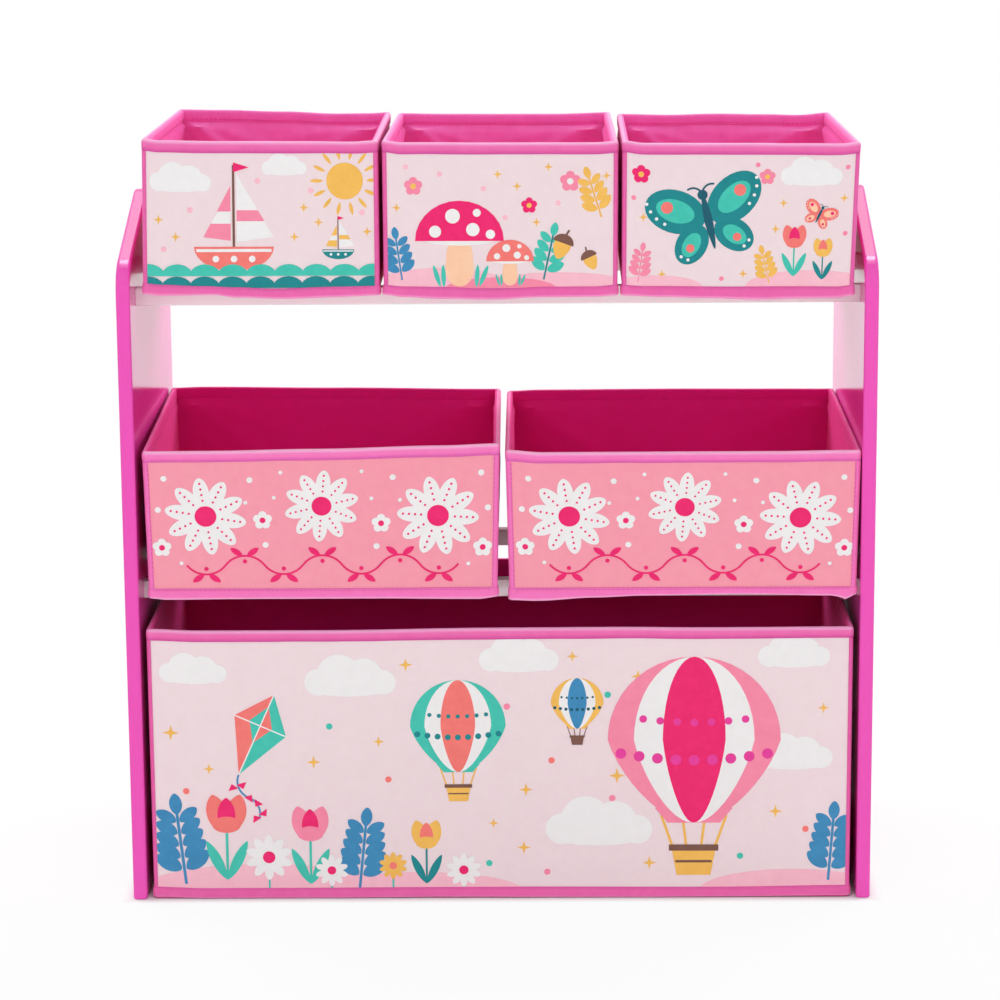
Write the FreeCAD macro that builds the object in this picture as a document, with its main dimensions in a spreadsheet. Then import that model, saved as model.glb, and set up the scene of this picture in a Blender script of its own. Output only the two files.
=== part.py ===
import FreeCAD, Part
import math
import os
import re

import Sketcher
from FreeCAD import Placement, Rotation, Vector

# Toy organiser rack: two gabled side panels joined by four rails, which carry fabric bins.
# Lengths are millimetres. X runs to the right, Y to the back and Z up, with the origin on the floor
# under the middle of the rack.

SIZES = {
    # side panels
    "overall_width": 635.0,
    "overall_depth": 300.0,
    "panel_thickness": 12.0,
    "shoulder_rise": 21.0,
    "crest_rise": 53.0,
    "shoulder_radius": 30.0,
    "crest_radius": 30.0,
    "panel_edge_round": 2.5,
    # rails and the joints at their ends
    "rail_height": 15.0,
    "rail_depth": 12.0,
    "rail_setback": 42.0,
    "rail_edge_round": 1.0,
    "mortise_depth": 3.0,
    "mortise_clearance": 0.15,
    "screw_radius": 2.0,
    "screw_length": 42.0,
    "screw_head_radius": 4.0,
    "screw_head_thickness": 1.8,
    "screw_clearance": 0.1,
    "cap_radius": 5.0,
    "cap_thickness": 1.6,
    "cap_clearance": 0.1,
    # heights of the stack, from the floor up
    "bottom_bin_height": 240.0,
    "bottom_headroom": 17.5,
    "middle_bin_height": 125.0,
    "access_gap": 113.5,
    "top_bin_height": 125.0,
    # places of the bins between the side panels
    "bin_front_inset": 3.0,
    "bin_rear_inset": 22.0,
    "top_left_clearance": 13.0,
    "top_right_clearance": 6.0,
    "top_bin_gap": 3.5,
    "middle_left_clearance": 6.5,
    "middle_right_clearance": 3.5,
    "middle_bin_gap": 4.5,
    "bottom_left_clearance": 5.0,
    "bottom_right_clearance": 5.0,
    # how far each side of a bin leans in at its foot
    "top_foot_taper": 0.5,
    "middle_foot_taper": 2.7,
    "bottom_foot_taper": 0.5,
    # fabric, boards and tape of the bins
    "skin_thickness": 0.8,
    "board_thickness": 2.0,
    "pocket_clearance": 0.15,
    "seam_width": 2.0,
    "floor_thickness": 1.0,
    "base_board_thickness": 3.0,
    "base_board_clearance": 1.0,
    "tape_thickness": 0.7,
    "rim_tape_width": 10.0,
    "front_tape_width": 7.5,
    "hem_drop": 4.5,
    "hem_floor_gap": 0.3,
    # how far a cutting shape runs past the piece it cuts
    "overrun": 1.0,
}

# An edge counts as running through a board's thickness when its direction is mostly along X.
ALONG_SHARE = 0.5

# Heights that follow from the stack.
MIDDLE_RAIL = "(bottom_bin_height + bottom_headroom)"
MIDDLE_BASE = f"({MIDDLE_RAIL} + rail_height)"
TOP_RAIL = f"({MIDDLE_BASE} + middle_bin_height + access_gap)"
TOP_BASE = f"({TOP_RAIL} + rail_height)"
SHOULDER = f"({TOP_BASE} + shoulder_rise)"
CREST = f"({SHOULDER} + crest_rise)"

# Widths and depths that follow from the panels and the rails.
HALF_WIDTH = "(overall_width / 2)"
HALF_DEPTH = "(overall_depth / 2)"
INNER_HALF = "(overall_width / 2 - panel_thickness)"
RAIL_PLACE = f"({HALF_DEPTH} - rail_setback - rail_depth / 2)"
RAIL_LENGTH = f"(2 * ({INNER_HALF} + mortise_depth - mortise_clearance))"
HEAD_RECESS = "(screw_head_thickness + cap_thickness + cap_clearance)"
BIN_DEPTH = "(overall_depth - bin_front_inset - bin_rear_inset)"

# Layers of a bin's wall, counted inwards from the outer face of its tape.
WALL = "(2 * skin_thickness + board_thickness + 2 * pocket_clearance)"
POCKET_START = "(tape_thickness + skin_thickness)"
POCKET_END = f"({POCKET_START} + board_thickness + 2 * pocket_clearance)"
POCKET_EDGE = f"(tape_thickness + {WALL} + seam_width)"
INNER_FACE = f"(tape_thickness + {WALL})"

doc = FreeCAD.newDocument("toy_organiser_rack")
sheet = doc.addObject("Spreadsheet::Sheet", "Sizes")
for row_number, (alias, size) in enumerate(SIZES.items(), start=1):
    sheet.set(f"A{row_number}", alias)
    sheet.set(f"B{row_number}", str(size))
    sheet.setAlias(f"B{row_number}", alias)
doc.recompute()

nodes = []


def formula(text):
    """A formula in plain size names, as an expression on the sheet."""
    return re.sub(r"[a-z][a-z_]+", lambda word: "Sizes." + word.group(), str(text))


def bind(thing, **formulas):
    """Tie properties of an object to formulas; a double underscore stands for a dot."""
    for path, text in formulas.items():
        thing.setExpression(path.replace("__", "."), formula(text))


def node(thing, label):
    """Name a finished sub-part and put it on the list to write out."""
    thing.Label = label
    nodes.append(thing)
    return thing


# Sketches and features of the wooden pieces


def sketch_on_section(body, name, offset="0"):
    """A sketch on the body's YZ plane, moved along X by the offset."""
    plane = next(part for part in body.Origin.OriginFeatures if part.Role == "YZ_Plane")
    sketch = body.newObject("Sketcher::SketchObject", name)
    sketch.AttachmentSupport = [(plane, "")]
    sketch.MapMode = "FlatFace"
    bind(sketch, AttachmentOffset__Base__z=offset)
    return sketch


def hold_point(sketch, line, point, across, up):
    """Hold a point of a sketch at two formulas from the sketch's origin."""
    for kind, axis, text in (("DistanceX", -2, across), ("DistanceY", -1, up)):
        if text == "0":
            sketch.addConstraint(Sketcher.Constraint("PointOnObject", line, point, axis))
        else:
            index = sketch.addConstraint(Sketcher.Constraint(kind, -1, 1, line, point, 1.0))
            sketch.setExpression(f"Constraints[{index}]", formula(text))


def add_outline(sketch, corners):
    """A closed outline through the corners; it starts as a unit polygon that its sizes pull into place."""
    first = sketch.GeometryCount
    count = len(corners)
    turns = [2 * math.pi * step / count for step in range(count)]
    starts = [Vector(math.cos(turn), math.sin(turn), 0) for turn in turns]
    for step in range(count):
        sketch.addGeometry(Part.LineSegment(starts[step], starts[(step + 1) % count]))
    for step, (across, up) in enumerate(corners):
        following = first + (step + 1) % count
        sketch.addConstraint(Sketcher.Constraint("Coincident", first + step, 2, following, 1))
        hold_point(sketch, first + step, 1, across, up)


def add_rectangle(sketch, left, right, low, high):
    add_outline(sketch, [(left, low), (right, low), (right, high), (left, high)])


def add_circle(sketch, across, up, radius):
    circle = sketch.addGeometry(Part.Circle(Vector(0, 0, 0), Vector(0, 0, 1), 1.0))
    hold_point(sketch, circle, 3, across, up)
    index = sketch.addConstraint(Sketcher.Constraint("Radius", circle, 1.0))
    sketch.setExpression(f"Constraints[{index}]", formula(radius))


def pad(body, sketch, name, length):
    feature = body.newObject("PartDesign::Pad", name)
    feature.Profile = sketch
    bind(feature, Length=length)
    doc.recompute()
    return feature


def pocket(body, sketch, name, depth, towards_plus_x):
    """Cut a sketch into the body and check that it took material away."""
    before = body.Shape.Volume
    feature = body.newObject("PartDesign::Pocket", name)
    feature.Profile = sketch
    feature.Reversed = towards_plus_x
    bind(feature, Length=depth)
    doc.recompute()
    if not body.Shape.Volume < before:
        raise RuntimeError(f"{name} cuts nothing")
    return feature


def fillet(body, name, chosen, radius):
    """Round the edges of the body that the test picks."""
    base = body.Tip
    names = [f"Edge{n}" for n, edge in enumerate(base.Shape.Edges, start=1) if chosen(edge)]
    feature = body.newObject("PartDesign::Fillet", name)
    feature.Base = (base, names)
    bind(feature, Radius=radius)
    doc.recompute()
    return feature


def runs_through(edge):
    """True for an edge that runs along X, through the thickness or the length of the piece."""
    return abs(edge.tangentAt(edge.FirstParameter).x) > ALONG_SHARE


def rail_sections():
    """The four rail centres on the section: level, end, place from the middle and height."""
    for level, underside in (("top", TOP_RAIL), ("middle", MIDDLE_RAIL)):
        for end, place in (("front", f"-{RAIL_PLACE}"), ("rear", RAIL_PLACE)):
            yield level, end, place, f"({underside} + rail_height / 2)"


# Side panels, each made with its inner face on the YZ plane and its thickness along plus X


def side_panel(label, inner_face, turn):
    body = doc.addObject("PartDesign::Body", label)
    outline = sketch_on_section(body, f"{label}_outline")
    add_outline(
        outline,
        [
            (f"-{HALF_DEPTH}", "0"),
            (HALF_DEPTH, "0"),
            (HALF_DEPTH, SHOULDER),
            ("0", CREST),
            (f"-{HALF_DEPTH}", SHOULDER),
        ],
    )
    pad(body, outline, f"{label}_board", "panel_thickness")

    board = body.Tip.Shape
    foot_side = board.CenterOfMass.z
    ridges = [e.CenterOfMass.z for e in board.Edges if runs_through(e) and e.CenterOfMass.z > foot_side]
    crest_side = (min(ridges) + max(ridges)) / 2
    fillet(
        body,
        f"{label}_crest",
        lambda e: runs_through(e) and e.CenterOfMass.z > crest_side,
        "crest_radius",
    )
    fillet(
        body,
        f"{label}_shoulders",
        lambda e: runs_through(e) and foot_side < e.CenterOfMass.z < crest_side,
        "shoulder_radius",
    )
    fillet(body, f"{label}_edge_round", lambda e: not runs_through(e), "panel_edge_round")

    mortises = sketch_on_section(body, f"{label}_mortise_outline")
    holes = sketch_on_section(body, f"{label}_screw_hole_outline")
    recesses = sketch_on_section(body, f"{label}_head_recess_outline", "panel_thickness")
    half_across = "(rail_depth / 2 + mortise_clearance)"
    half_up = "(rail_height / 2 + mortise_clearance)"
    for _, _, place, height in rail_sections():
        add_rectangle(
            mortises,
            f"{place} - {half_across}",
            f"{place} + {half_across}",
            f"{height} - {half_up}",
            f"{height} + {half_up}",
        )
        add_circle(holes, place, height, "screw_radius + screw_clearance")
        add_circle(recesses, place, height, "cap_radius + cap_clearance")
    pocket(body, mortises, f"{label}_mortises", "mortise_depth", True)
    pocket(body, holes, f"{label}_screw_holes", "panel_thickness + overrun", True)
    pocket(body, recesses, f"{label}_head_recesses", HEAD_RECESS, False)

    body.Placement = Placement(Vector(0, 0, 0), Rotation(Vector(0, 0, 1), turn))
    bind(body, Placement__Base__x=inner_face)
    return node(body, label)


side_panel("right_side_panel", INNER_HALF, 0)
side_panel("left_side_panel", f"-{INNER_HALF}", 180)


# Rails, with a pilot hole for a screw in each end


def rail(label, place, height):
    body = doc.addObject("PartDesign::Body", label)
    section = sketch_on_section(body, f"{label}_section")
    add_rectangle(section, "-rail_depth / 2", "rail_depth / 2", "-rail_height / 2", "rail_height / 2")
    pad(body, section, f"{label}_strip", RAIL_LENGTH)
    fillet(body, f"{label}_edge_round", runs_through, "rail_edge_round")
    pilot_depth = f"screw_length + {HEAD_RECESS} + mortise_depth - panel_thickness + overrun"
    for end, offset, towards_plus_x in (("left", "0", True), ("right", RAIL_LENGTH, False)):
        hole = sketch_on_section(body, f"{label}_{end}_pilot_outline", offset)
        add_circle(hole, "0", "0", "screw_radius + screw_clearance")
        pocket(body, hole, f"{label}_{end}_pilot", pilot_depth, towards_plus_x)
    bind(
        body,
        Placement__Base__x=f"-{RAIL_LENGTH} / 2",
        Placement__Base__y=place,
        Placement__Base__z=height,
    )
    return node(body, label)


for level, end, place, height in rail_sections():
    rail(f"{level}_{end}_rail", place, height)


# Screws through the panels into the rail ends, and the plug caps over their heads


def rod(name, start, length, radius, place, height):
    """A cylinder that lies along X from its start."""
    cylinder = doc.addObject("Part::Cylinder", name)
    cylinder.Placement = Placement(Vector(0, 0, 0), Rotation(Vector(0, 1, 0), 90))
    bind(
        cylinder,
        Radius=radius,
        Height=length,
        Placement__Base__x=start,
        Placement__Base__y=place,
        Placement__Base__z=height,
    )
    return cylinder


seat = f"({HALF_WIDTH} - {HEAD_RECESS})"
rod_starts = {
    "left": (f"-{seat}", f"-{seat} - screw_head_thickness", f"-{HALF_WIDTH}"),
    "right": (f"{seat} - screw_length", seat, f"{HALF_WIDTH} - cap_thickness"),
}
screws = []
caps = []
for side, (shank_start, head_start, cap_start) in rod_starts.items():
    for level, end, place, height in rail_sections():
        name = f"{level}_{end}_{side}"
        centre = (place, height)
        screw = doc.addObject("Part::Fuse", f"{name}_screw")
        screw.Base = rod(f"{name}_shank", shank_start, "screw_length", "screw_radius", *centre)
        screw.Tool = rod(f"{name}_head", head_start, "screw_head_thickness", "screw_head_radius", *centre)
        screws.append(screw)
        caps.append(rod(f"{name}_cap", cap_start, "cap_thickness", "cap_radius", *centre))

for label, members in (("rail_screws", screws), ("screw_caps", caps)):
    group = doc.addObject("Part::Compound", label)
    group.Links = members
    node(group, label)


# Fabric bins. A bin is drawn with its middle at x = 0, its front at y = 0 and its underside at z = 0,
# and its left and right sides lean in towards the foot.

TOP_WIDTH = f"((2 * {INNER_HALF} - top_left_clearance - top_right_clearance - 2 * top_bin_gap) / 3)"
MIDDLE_WIDTH = f"((2 * {INNER_HALF} - middle_left_clearance - middle_right_clearance - middle_bin_gap) / 2)"
BOTTOM_WIDTH = f"(2 * {INNER_HALF} - bottom_left_clearance - bottom_right_clearance)"
ROW_WIDTHS = {"top": TOP_WIDTH, "middle": MIDDLE_WIDTH, "bottom": BOTTOM_WIDTH}

LEFT = -1
RIGHT = 1


def side_face(row, side, inset, height):
    """Where a side face lies at a height, as far inside the bin's outer face as the inset says."""
    lean = f"{row}_foot_taper * (1 - ({height}) / {row}_bin_height)"
    return f"{side} * ({ROW_WIDTHS[row]} / 2 - {lean} - ({inset}))"


def block(row, name, left, right, front, back, low, high):
    """A block with leaning sides: left and right are each a side of the bin and an inset from it."""
    wedge = doc.addObject("Part::Wedge", name)
    wedge.Placement = Placement(Vector(0, 0, 0), Rotation(Vector(1, 0, 0), 90))
    bind(
        wedge,
        Xmin=side_face(row, *left, low),
        Xmax=side_face(row, *right, low),
        X2min=side_face(row, *left, high),
        X2max=side_face(row, *right, high),
        Ymin=low,
        Ymax=high,
        Zmin=f"-({back})",
        Zmax=f"-({front})",
        Z2min=f"-({back})",
        Z2max=f"-({front})",
    )
    return wedge


def ring_block(row, name, inset, low, high):
    """A block that keeps the same inset from all four sides of the bin."""
    return block(row, name, (LEFT, inset), (RIGHT, inset), inset, f"{BIN_DEPTH} - {inset}", low, high)


def cut(name, base, tool):
    feature = doc.addObject("Part::Cut", name)
    feature.Base = base
    feature.Tool = tool
    return feature


def wall_block(row, name, wall, start, end, edge, low, high):
    """A block inside one wall: it lies between two depths from the outer face, short of the corners."""
    if wall == "front":
        return block(row, name, (LEFT, edge), (RIGHT, edge), start, end, low, high)
    if wall == "back":
        near = f"{BIN_DEPTH} - ({end})"
        far = f"{BIN_DEPTH} - ({start})"
        return block(row, name, (LEFT, edge), (RIGHT, edge), near, far, low, high)
    far = f"{BIN_DEPTH} - ({edge})"
    if wall == "left":
        return block(row, name, (LEFT, start), (LEFT, end), edge, far, low, high)
    return block(row, name, (RIGHT, end), (RIGHT, start), edge, far, low, high)


WALLS = ("front", "back", "left", "right")


def bin_cover(row, label):
    """Four sewn walls with a board pocket in each, open at the top until the tape closes them."""
    top = f"{row}_bin_height - tape_thickness"
    past_top = f"{row}_bin_height + overrun"
    outside = ring_block(row, f"{label}_outside", "tape_thickness", "floor_thickness", top)
    inside = ring_block(row, f"{label}_inside", INNER_FACE, "floor_thickness - overrun", past_top)
    cover = cut(f"{label}_walls", outside, inside)
    pocket_floor = "floor_thickness + skin_thickness"
    for wall in WALLS:
        name = f"{label}_{wall}_pocket"
        hollow = wall_block(row, name, wall, POCKET_START, POCKET_END, POCKET_EDGE, pocket_floor, past_top)
        cover = cut(f"{name}_cut", cover, hollow)
    return cover


def bin_board(row, label, wall):
    """The stiffening board that fills one pocket."""
    start = f"{POCKET_START} + pocket_clearance"
    end = f"{POCKET_END} - pocket_clearance"
    edge = f"{POCKET_EDGE} + pocket_clearance"
    low = "floor_thickness + skin_thickness"
    high = f"{row}_bin_height - tape_thickness - pocket_clearance"
    return wall_block(row, f"{label}_{wall}_board", wall, start, end, edge, low, high)


def bin_tape(row, label, hem):
    """Tape folded over the rim, joined to the tape down the front edges and along the front foot."""
    rim = f"{row}_bin_height"
    above = f"{rim} + overrun"
    skirt = f"{rim} - rim_tape_width"
    below = f"{skirt} - overrun"
    tape_face = f"({INNER_FACE} + tape_thickness)"
    fold = ring_block(row, f"{label}_fold", "0", skirt, rim)
    mouth = ring_block(row, f"{label}_mouth", tape_face, below, above)
    wall_top = f"{rim} - tape_thickness"
    wall_outside = ring_block(row, f"{label}_wall_outside", "tape_thickness", below, wall_top)
    wall_inside = ring_block(row, f"{label}_wall_inside", INNER_FACE, f"{below} - overrun", above)
    groove = cut(f"{label}_groove", wall_outside, wall_inside)
    rim_tape = cut(f"{label}_rim", cut(f"{label}_open_fold", fold, mouth), groove)
    face = block(row, f"{label}_face", (LEFT, "0"), (RIGHT, "0"), "0", "tape_thickness", hem, rim)
    inset = "front_tape_width"
    window = block(
        row,
        f"{label}_window",
        (LEFT, inset),
        (RIGHT, inset),
        "-overrun",
        "tape_thickness + overrun",
        f"{hem} + front_tape_width",
        skirt,
    )
    tape = doc.addObject("Part::Fuse", f"{label}_tape")
    tape.Base = rim_tape
    tape.Tool = cut(f"{label}_front_tape", face, window)
    tape.Refine = True
    return tape


def fabric_bin(label, row, middle, base, hem):
    """All pieces of one bin, put in their place on the rack."""
    floor_top = "floor_thickness + base_board_thickness"
    pieces = {
        "cover": bin_cover(row, label),
        "tape": bin_tape(row, label, hem),
        "floor_panel": ring_block(row, f"{label}_floor_panel", "tape_thickness", "0", "floor_thickness"),
        "base_board": ring_block(
            row, f"{label}_base_board", f"({INNER_FACE} + base_board_clearance)", "floor_thickness", floor_top
        ),
    }
    for wall in WALLS:
        pieces[f"{wall}_board"] = bin_board(row, label, wall)
    for name, piece in pieces.items():
        bind(
            piece,
            Placement__Base__x=middle,
            Placement__Base__y=f"bin_front_inset - {HALF_DEPTH}",
            Placement__Base__z=base,
        )
        node(piece, f"{label}_{name}")


top_start = f"(top_left_clearance + {TOP_WIDTH} / 2 - {INNER_HALF})"
top_step = f"({TOP_WIDTH} + top_bin_gap)"
for step, place in enumerate(("left", "centre", "right")):
    middle = f"{top_start} + {step} * {top_step}"
    fabric_bin(f"top_{place}_bin", "top", middle, TOP_BASE, "-hem_drop")

middle_start = f"(middle_left_clearance + {MIDDLE_WIDTH} / 2 - {INNER_HALF})"
middle_step = f"({MIDDLE_WIDTH} + middle_bin_gap)"
for step, place in enumerate(("left", "right")):
    middle = f"{middle_start} + {step} * {middle_step}"
    fabric_bin(f"middle_{place}_bin", "middle", middle, MIDDLE_BASE, "-hem_drop")

bottom_middle = f"bottom_left_clearance + {BOTTOM_WIDTH} / 2 - {INNER_HALF}"
fabric_bin("bottom_bin", "bottom", bottom_middle, "0", "hem_floor_gap")


# Check every object, then write each sub-part to its own file

doc.recompute()
for thing in doc.Objects:
    if "Invalid" in thing.State or "Error" in thing.State:
        raise RuntimeError(f"{thing.Label} did not build: {thing.State}")
os.makedirs("parts", exist_ok=True)
for thing in nodes:
    shape = thing.Shape
    if shape.isNull() or not shape.isValid() or not shape.Solids:
        raise RuntimeError(f"{thing.Label} has no valid solid")
    shape.exportStep(f"parts/{thing.Label}.step")
    box = shape.optimalBoundingBox(False)
    lengths = f"{box.XLength:.1f} x {box.YLength:.1f} x {box.ZLength:.1f} mm"
    print(f"{thing.Label}: {len(shape.Solids)} solids, {lengths}")
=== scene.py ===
# %% [markdown]
# # A child's toy rack with six fabric bins
# Two lacquered side panels and four slim rails make an open rack. Five fabric
# bins stand on the rails and a large one stands on the floor between the panels.
# The rigid frame comes from the CAD model and only gets its finishes here. The
# bins are sewn cloth over board, so they are modelled again as cloth.

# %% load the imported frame
import math
from types import SimpleNamespace

import bmesh
import bpy
from mathutils import Matrix, Vector, noise


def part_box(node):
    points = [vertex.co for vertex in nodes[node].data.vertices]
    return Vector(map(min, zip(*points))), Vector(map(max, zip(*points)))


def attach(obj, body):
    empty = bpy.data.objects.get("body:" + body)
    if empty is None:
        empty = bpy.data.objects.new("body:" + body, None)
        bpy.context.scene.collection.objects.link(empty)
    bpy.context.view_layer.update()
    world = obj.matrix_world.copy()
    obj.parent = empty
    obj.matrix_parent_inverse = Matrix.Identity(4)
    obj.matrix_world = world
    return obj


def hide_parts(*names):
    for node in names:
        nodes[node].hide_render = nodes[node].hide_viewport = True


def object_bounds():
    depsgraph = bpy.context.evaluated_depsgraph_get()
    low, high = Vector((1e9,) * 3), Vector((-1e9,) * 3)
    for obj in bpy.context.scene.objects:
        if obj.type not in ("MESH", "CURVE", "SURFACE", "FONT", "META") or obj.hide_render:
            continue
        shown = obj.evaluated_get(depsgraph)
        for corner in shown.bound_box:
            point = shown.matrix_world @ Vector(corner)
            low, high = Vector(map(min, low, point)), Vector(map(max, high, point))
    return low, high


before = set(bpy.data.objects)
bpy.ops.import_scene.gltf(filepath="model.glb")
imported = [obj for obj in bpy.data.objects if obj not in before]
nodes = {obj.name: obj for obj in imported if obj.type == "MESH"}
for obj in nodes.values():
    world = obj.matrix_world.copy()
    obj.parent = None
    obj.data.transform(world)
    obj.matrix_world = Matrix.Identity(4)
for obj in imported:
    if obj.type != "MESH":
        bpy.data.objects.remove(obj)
cad_low, cad_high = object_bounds()
print("CAD nodes:", len(nodes), "box:", [round(c, 3) for c in (*cad_low, *cad_high)])

# %% [markdown]
# ## Camera
# The rack was photographed from a little right of its middle and from above,
# through a long lens. A lens could be guessed and nudged until it looks right.
# Here the place, turn and focal length come from a fit to the panel edges, so
# the picture and the model share one viewpoint.

# %% camera
FOCAL_PIXELS = 3342.4
PHOTO_PIXELS = 1000
CAMERA_PLACE = (0.0412, -2.9039, 0.9163)
YAW, PITCH, ROLL = 0.826, -11.605, -0.411

scene = bpy.context.scene
camera_data = bpy.data.cameras.new("camera")
camera_data.sensor_width = 36
camera_data.lens = camera_data.sensor_width * FOCAL_PIXELS / PHOTO_PIXELS
camera_data.clip_end = 200
camera = bpy.data.objects.new("camera", camera_data)
scene.collection.objects.link(camera)
camera.matrix_world = (
    Matrix.Translation(CAMERA_PLACE)
    @ Matrix.Rotation(math.radians(YAW), 4, "Z")
    @ Matrix.Rotation(math.radians(90 + PITCH), 4, "X")
    @ Matrix.Rotation(math.radians(ROLL), 4, "Z")
)
scene.camera = camera
print("lens", round(camera_data.lens, 1), "mm")

# %% [markdown]
# ## Nodes and colours
# Every finish is a small graph of shader nodes. Adding each node by hand takes
# several lines, so one function adds a node, gives it its settings and links it.
# Colours are written as sRGB hex values, as a paint chart gives them, and one
# function turns them to the linear values that the renderer counts in.

# %% helpers for finishes
MM = 0.001
WHITE = (1, 1, 1, 1)


def linear(hex_colour):
    """An sRGB hex colour as linear red, green, blue and alpha."""
    parts = [int(hex_colour[i : i + 2], 16) / 255 for i in (1, 3, 5)]
    return (*[c / 12.92 if c <= 0.04045 else ((c + 0.055) / 1.055) ** 2.4 for c in parts], 1)


def plug(made, inputs):
    """Fills inputs of a shader node: each takes a value, a hex colour or another node's socket."""
    for name, value in inputs.items():
        if isinstance(value, bpy.types.NodeSocket):
            made.id_data.links.new(value, made.inputs[name])
        else:
            made.inputs[name].default_value = linear(value) if isinstance(value, str) else value


def node(tree, kind, inputs, out=0, **settings):
    """Adds a shader node with its settings; gives one of its output sockets, or all for None."""
    made = tree.nodes.new("ShaderNode" + kind)
    for name, value in settings.items():
        setattr(made, name, value)
    plug(made, inputs)
    return made.outputs if out is None else made.outputs[out]


def finish(name, **sockets):
    """A new material, its tree, its main shader and the Object coordinates of the piece."""
    made = bpy.data.materials.new(name)
    made.use_nodes = True
    tree = made.node_tree
    shader = tree.nodes["Principled BSDF"]
    plug(shader, {socket.replace("_", " "): value for socket, value in sockets.items()})
    return made, tree, shader, node(tree, "TexCoord", {}, "Object")


def per(millimetres):
    """The scale of a texture whose features are this many millimetres wide."""
    return 1 / (millimetres * MM)


def grained(name, tones, rough, grain_mm, texture, wave=False, relief=0.0, **sockets):
    """A finish whose tone, roughness and relief all follow one fine grain."""
    made, tree, shader, place = finish(name, **sockets)
    kind, out = ("TexWave", 1) if wave else ("TexNoise", 0)
    grain = node(tree, kind, {"Vector": place, "Scale": per(grain_mm), **texture}, out)
    tone = node(tree, "Mix", {0: grain, 6: tones[0], 7: tones[1]}, 2, data_type="RGBA")
    rough = node(tree, "MapRange", {0: grain, 3: rough[0], 4: rough[1]})
    plug(shader, {"Base Color": tone, "Roughness": rough})
    if relief:
        bump = node(tree, "Bump", {"Height": grain, "Strength": relief, "Distance": 0.02 * MM})
        plug(shader, {"Normal": bump})
    return made


print("pure white is", linear("#FFFFFF"))

# %% [markdown]
# ## Studio
# The rack stands on a white sweep under soft light. The world and the floor show
# white to the camera and to reflections, and light the object at a plain level.
# The floor is partly a real matt surface, so it keeps a faint shadow, and it fades
# into the white before its edge. Under the rack it is all matt, so the slits beside
# the bottom bin stay dark.

# %% white world
SKY_LEVEL = 0.27


def seen_directly(tree):
    """1 for rays from the camera and for those sent on by a mirror or by glass, else 0."""
    path = node(tree, "LightPath", {}, None)
    seen = path["Is Camera Ray"]
    for kind in ("Is Glossy Ray", "Is Transmission Ray"):
        seen = node(tree, "Math", {0: seen, 1: path[kind]}, operation="MAXIMUM")
    return seen


world = bpy.data.worlds.new("studio")
scene.world = world
world.use_nodes = True
tree = world.node_tree
tree.nodes.clear()
sky = node(tree, "Background", {"Color": WHITE, "Strength": SKY_LEVEL})
backdrop = node(tree, "Background", {"Color": WHITE, "Strength": 1.0})
mixed = node(tree, "MixShader", {0: seen_directly(tree), 1: sky, 2: backdrop})
node(tree, "OutputWorld", {"Surface": mixed}, None)
scene.view_settings.view_transform = "Standard"
print("world ready, sky level", SKY_LEVEL)

# %% white floor
FLOOR_RADIUS, FLOOR_DROP = 4.0, 0.0004
# The floor's white share grows to 1 between two distances from the middle, and it is
# matt inside the rack's outline, with a soft edge between two distances from that.
WHITE_SHARE, FADE = 0.9, (0.5, 1.3)
MATT_EDGE = (-0.004, 0.012)

paper, tree, shader, place = finish("matt white paper sweep", Roughness=0.9, Base_Color="#F2F2F2")
distance = node(tree, "VectorMath", {0: place}, "Value", operation="LENGTH")
smooth = {"interpolation_type": "SMOOTHSTEP"}
fade = node(tree, "MapRange", {0: distance, 1: FADE[0], 2: FADE[1], 3: WHITE_SHARE, 4: 1.0}, **smooth)
axes = node(tree, "SeparateXYZ", {0: place}, None)
beyond = []
for axis, half in (("X", cad_high.x), ("Y", cad_high.y)):
    side = node(tree, "Math", {0: axes[axis]}, operation="ABSOLUTE")
    beyond.append(node(tree, "Math", {0: side, 1: half}, operation="SUBTRACT"))
away = node(tree, "Math", {0: beyond[0], 1: beyond[1]}, operation="MAXIMUM")
clear = node(tree, "MapRange", {0: away, 1: MATT_EDGE[0], 2: MATT_EDGE[1]}, **smooth)
share = seen_directly(tree)
for other in (fade, clear):
    share = node(tree, "Math", {0: share, 1: other}, operation="MULTIPLY")
glow = node(tree, "Emission", {"Color": WHITE, "Strength": 1.0})
mixed = node(tree, "MixShader", {0: share, 1: shader.outputs[0], 2: glow})
plug(tree.nodes["Material Output"], {"Surface": mixed})


def as_object(bm, name, finishes):
    """A linked object with the shape of a bmesh, which is freed."""
    mesh = bpy.data.meshes.new(name)
    bm.to_mesh(mesh)
    bm.free()
    for made in finishes:
        mesh.materials.append(made)
    piece = bpy.data.objects.new(name, mesh)
    scene.collection.objects.link(piece)
    return piece


bm = bmesh.new()
bmesh.ops.create_circle(bm, cap_ends=True, radius=FLOOR_RADIUS, segments=64)
bmesh.ops.translate(bm, vec=(0, 0, -FLOOR_DROP), verts=bm.verts)
floor = as_object(bm, "floor", [paper])
print("floor radius", FLOOR_RADIUS, "m")

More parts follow.
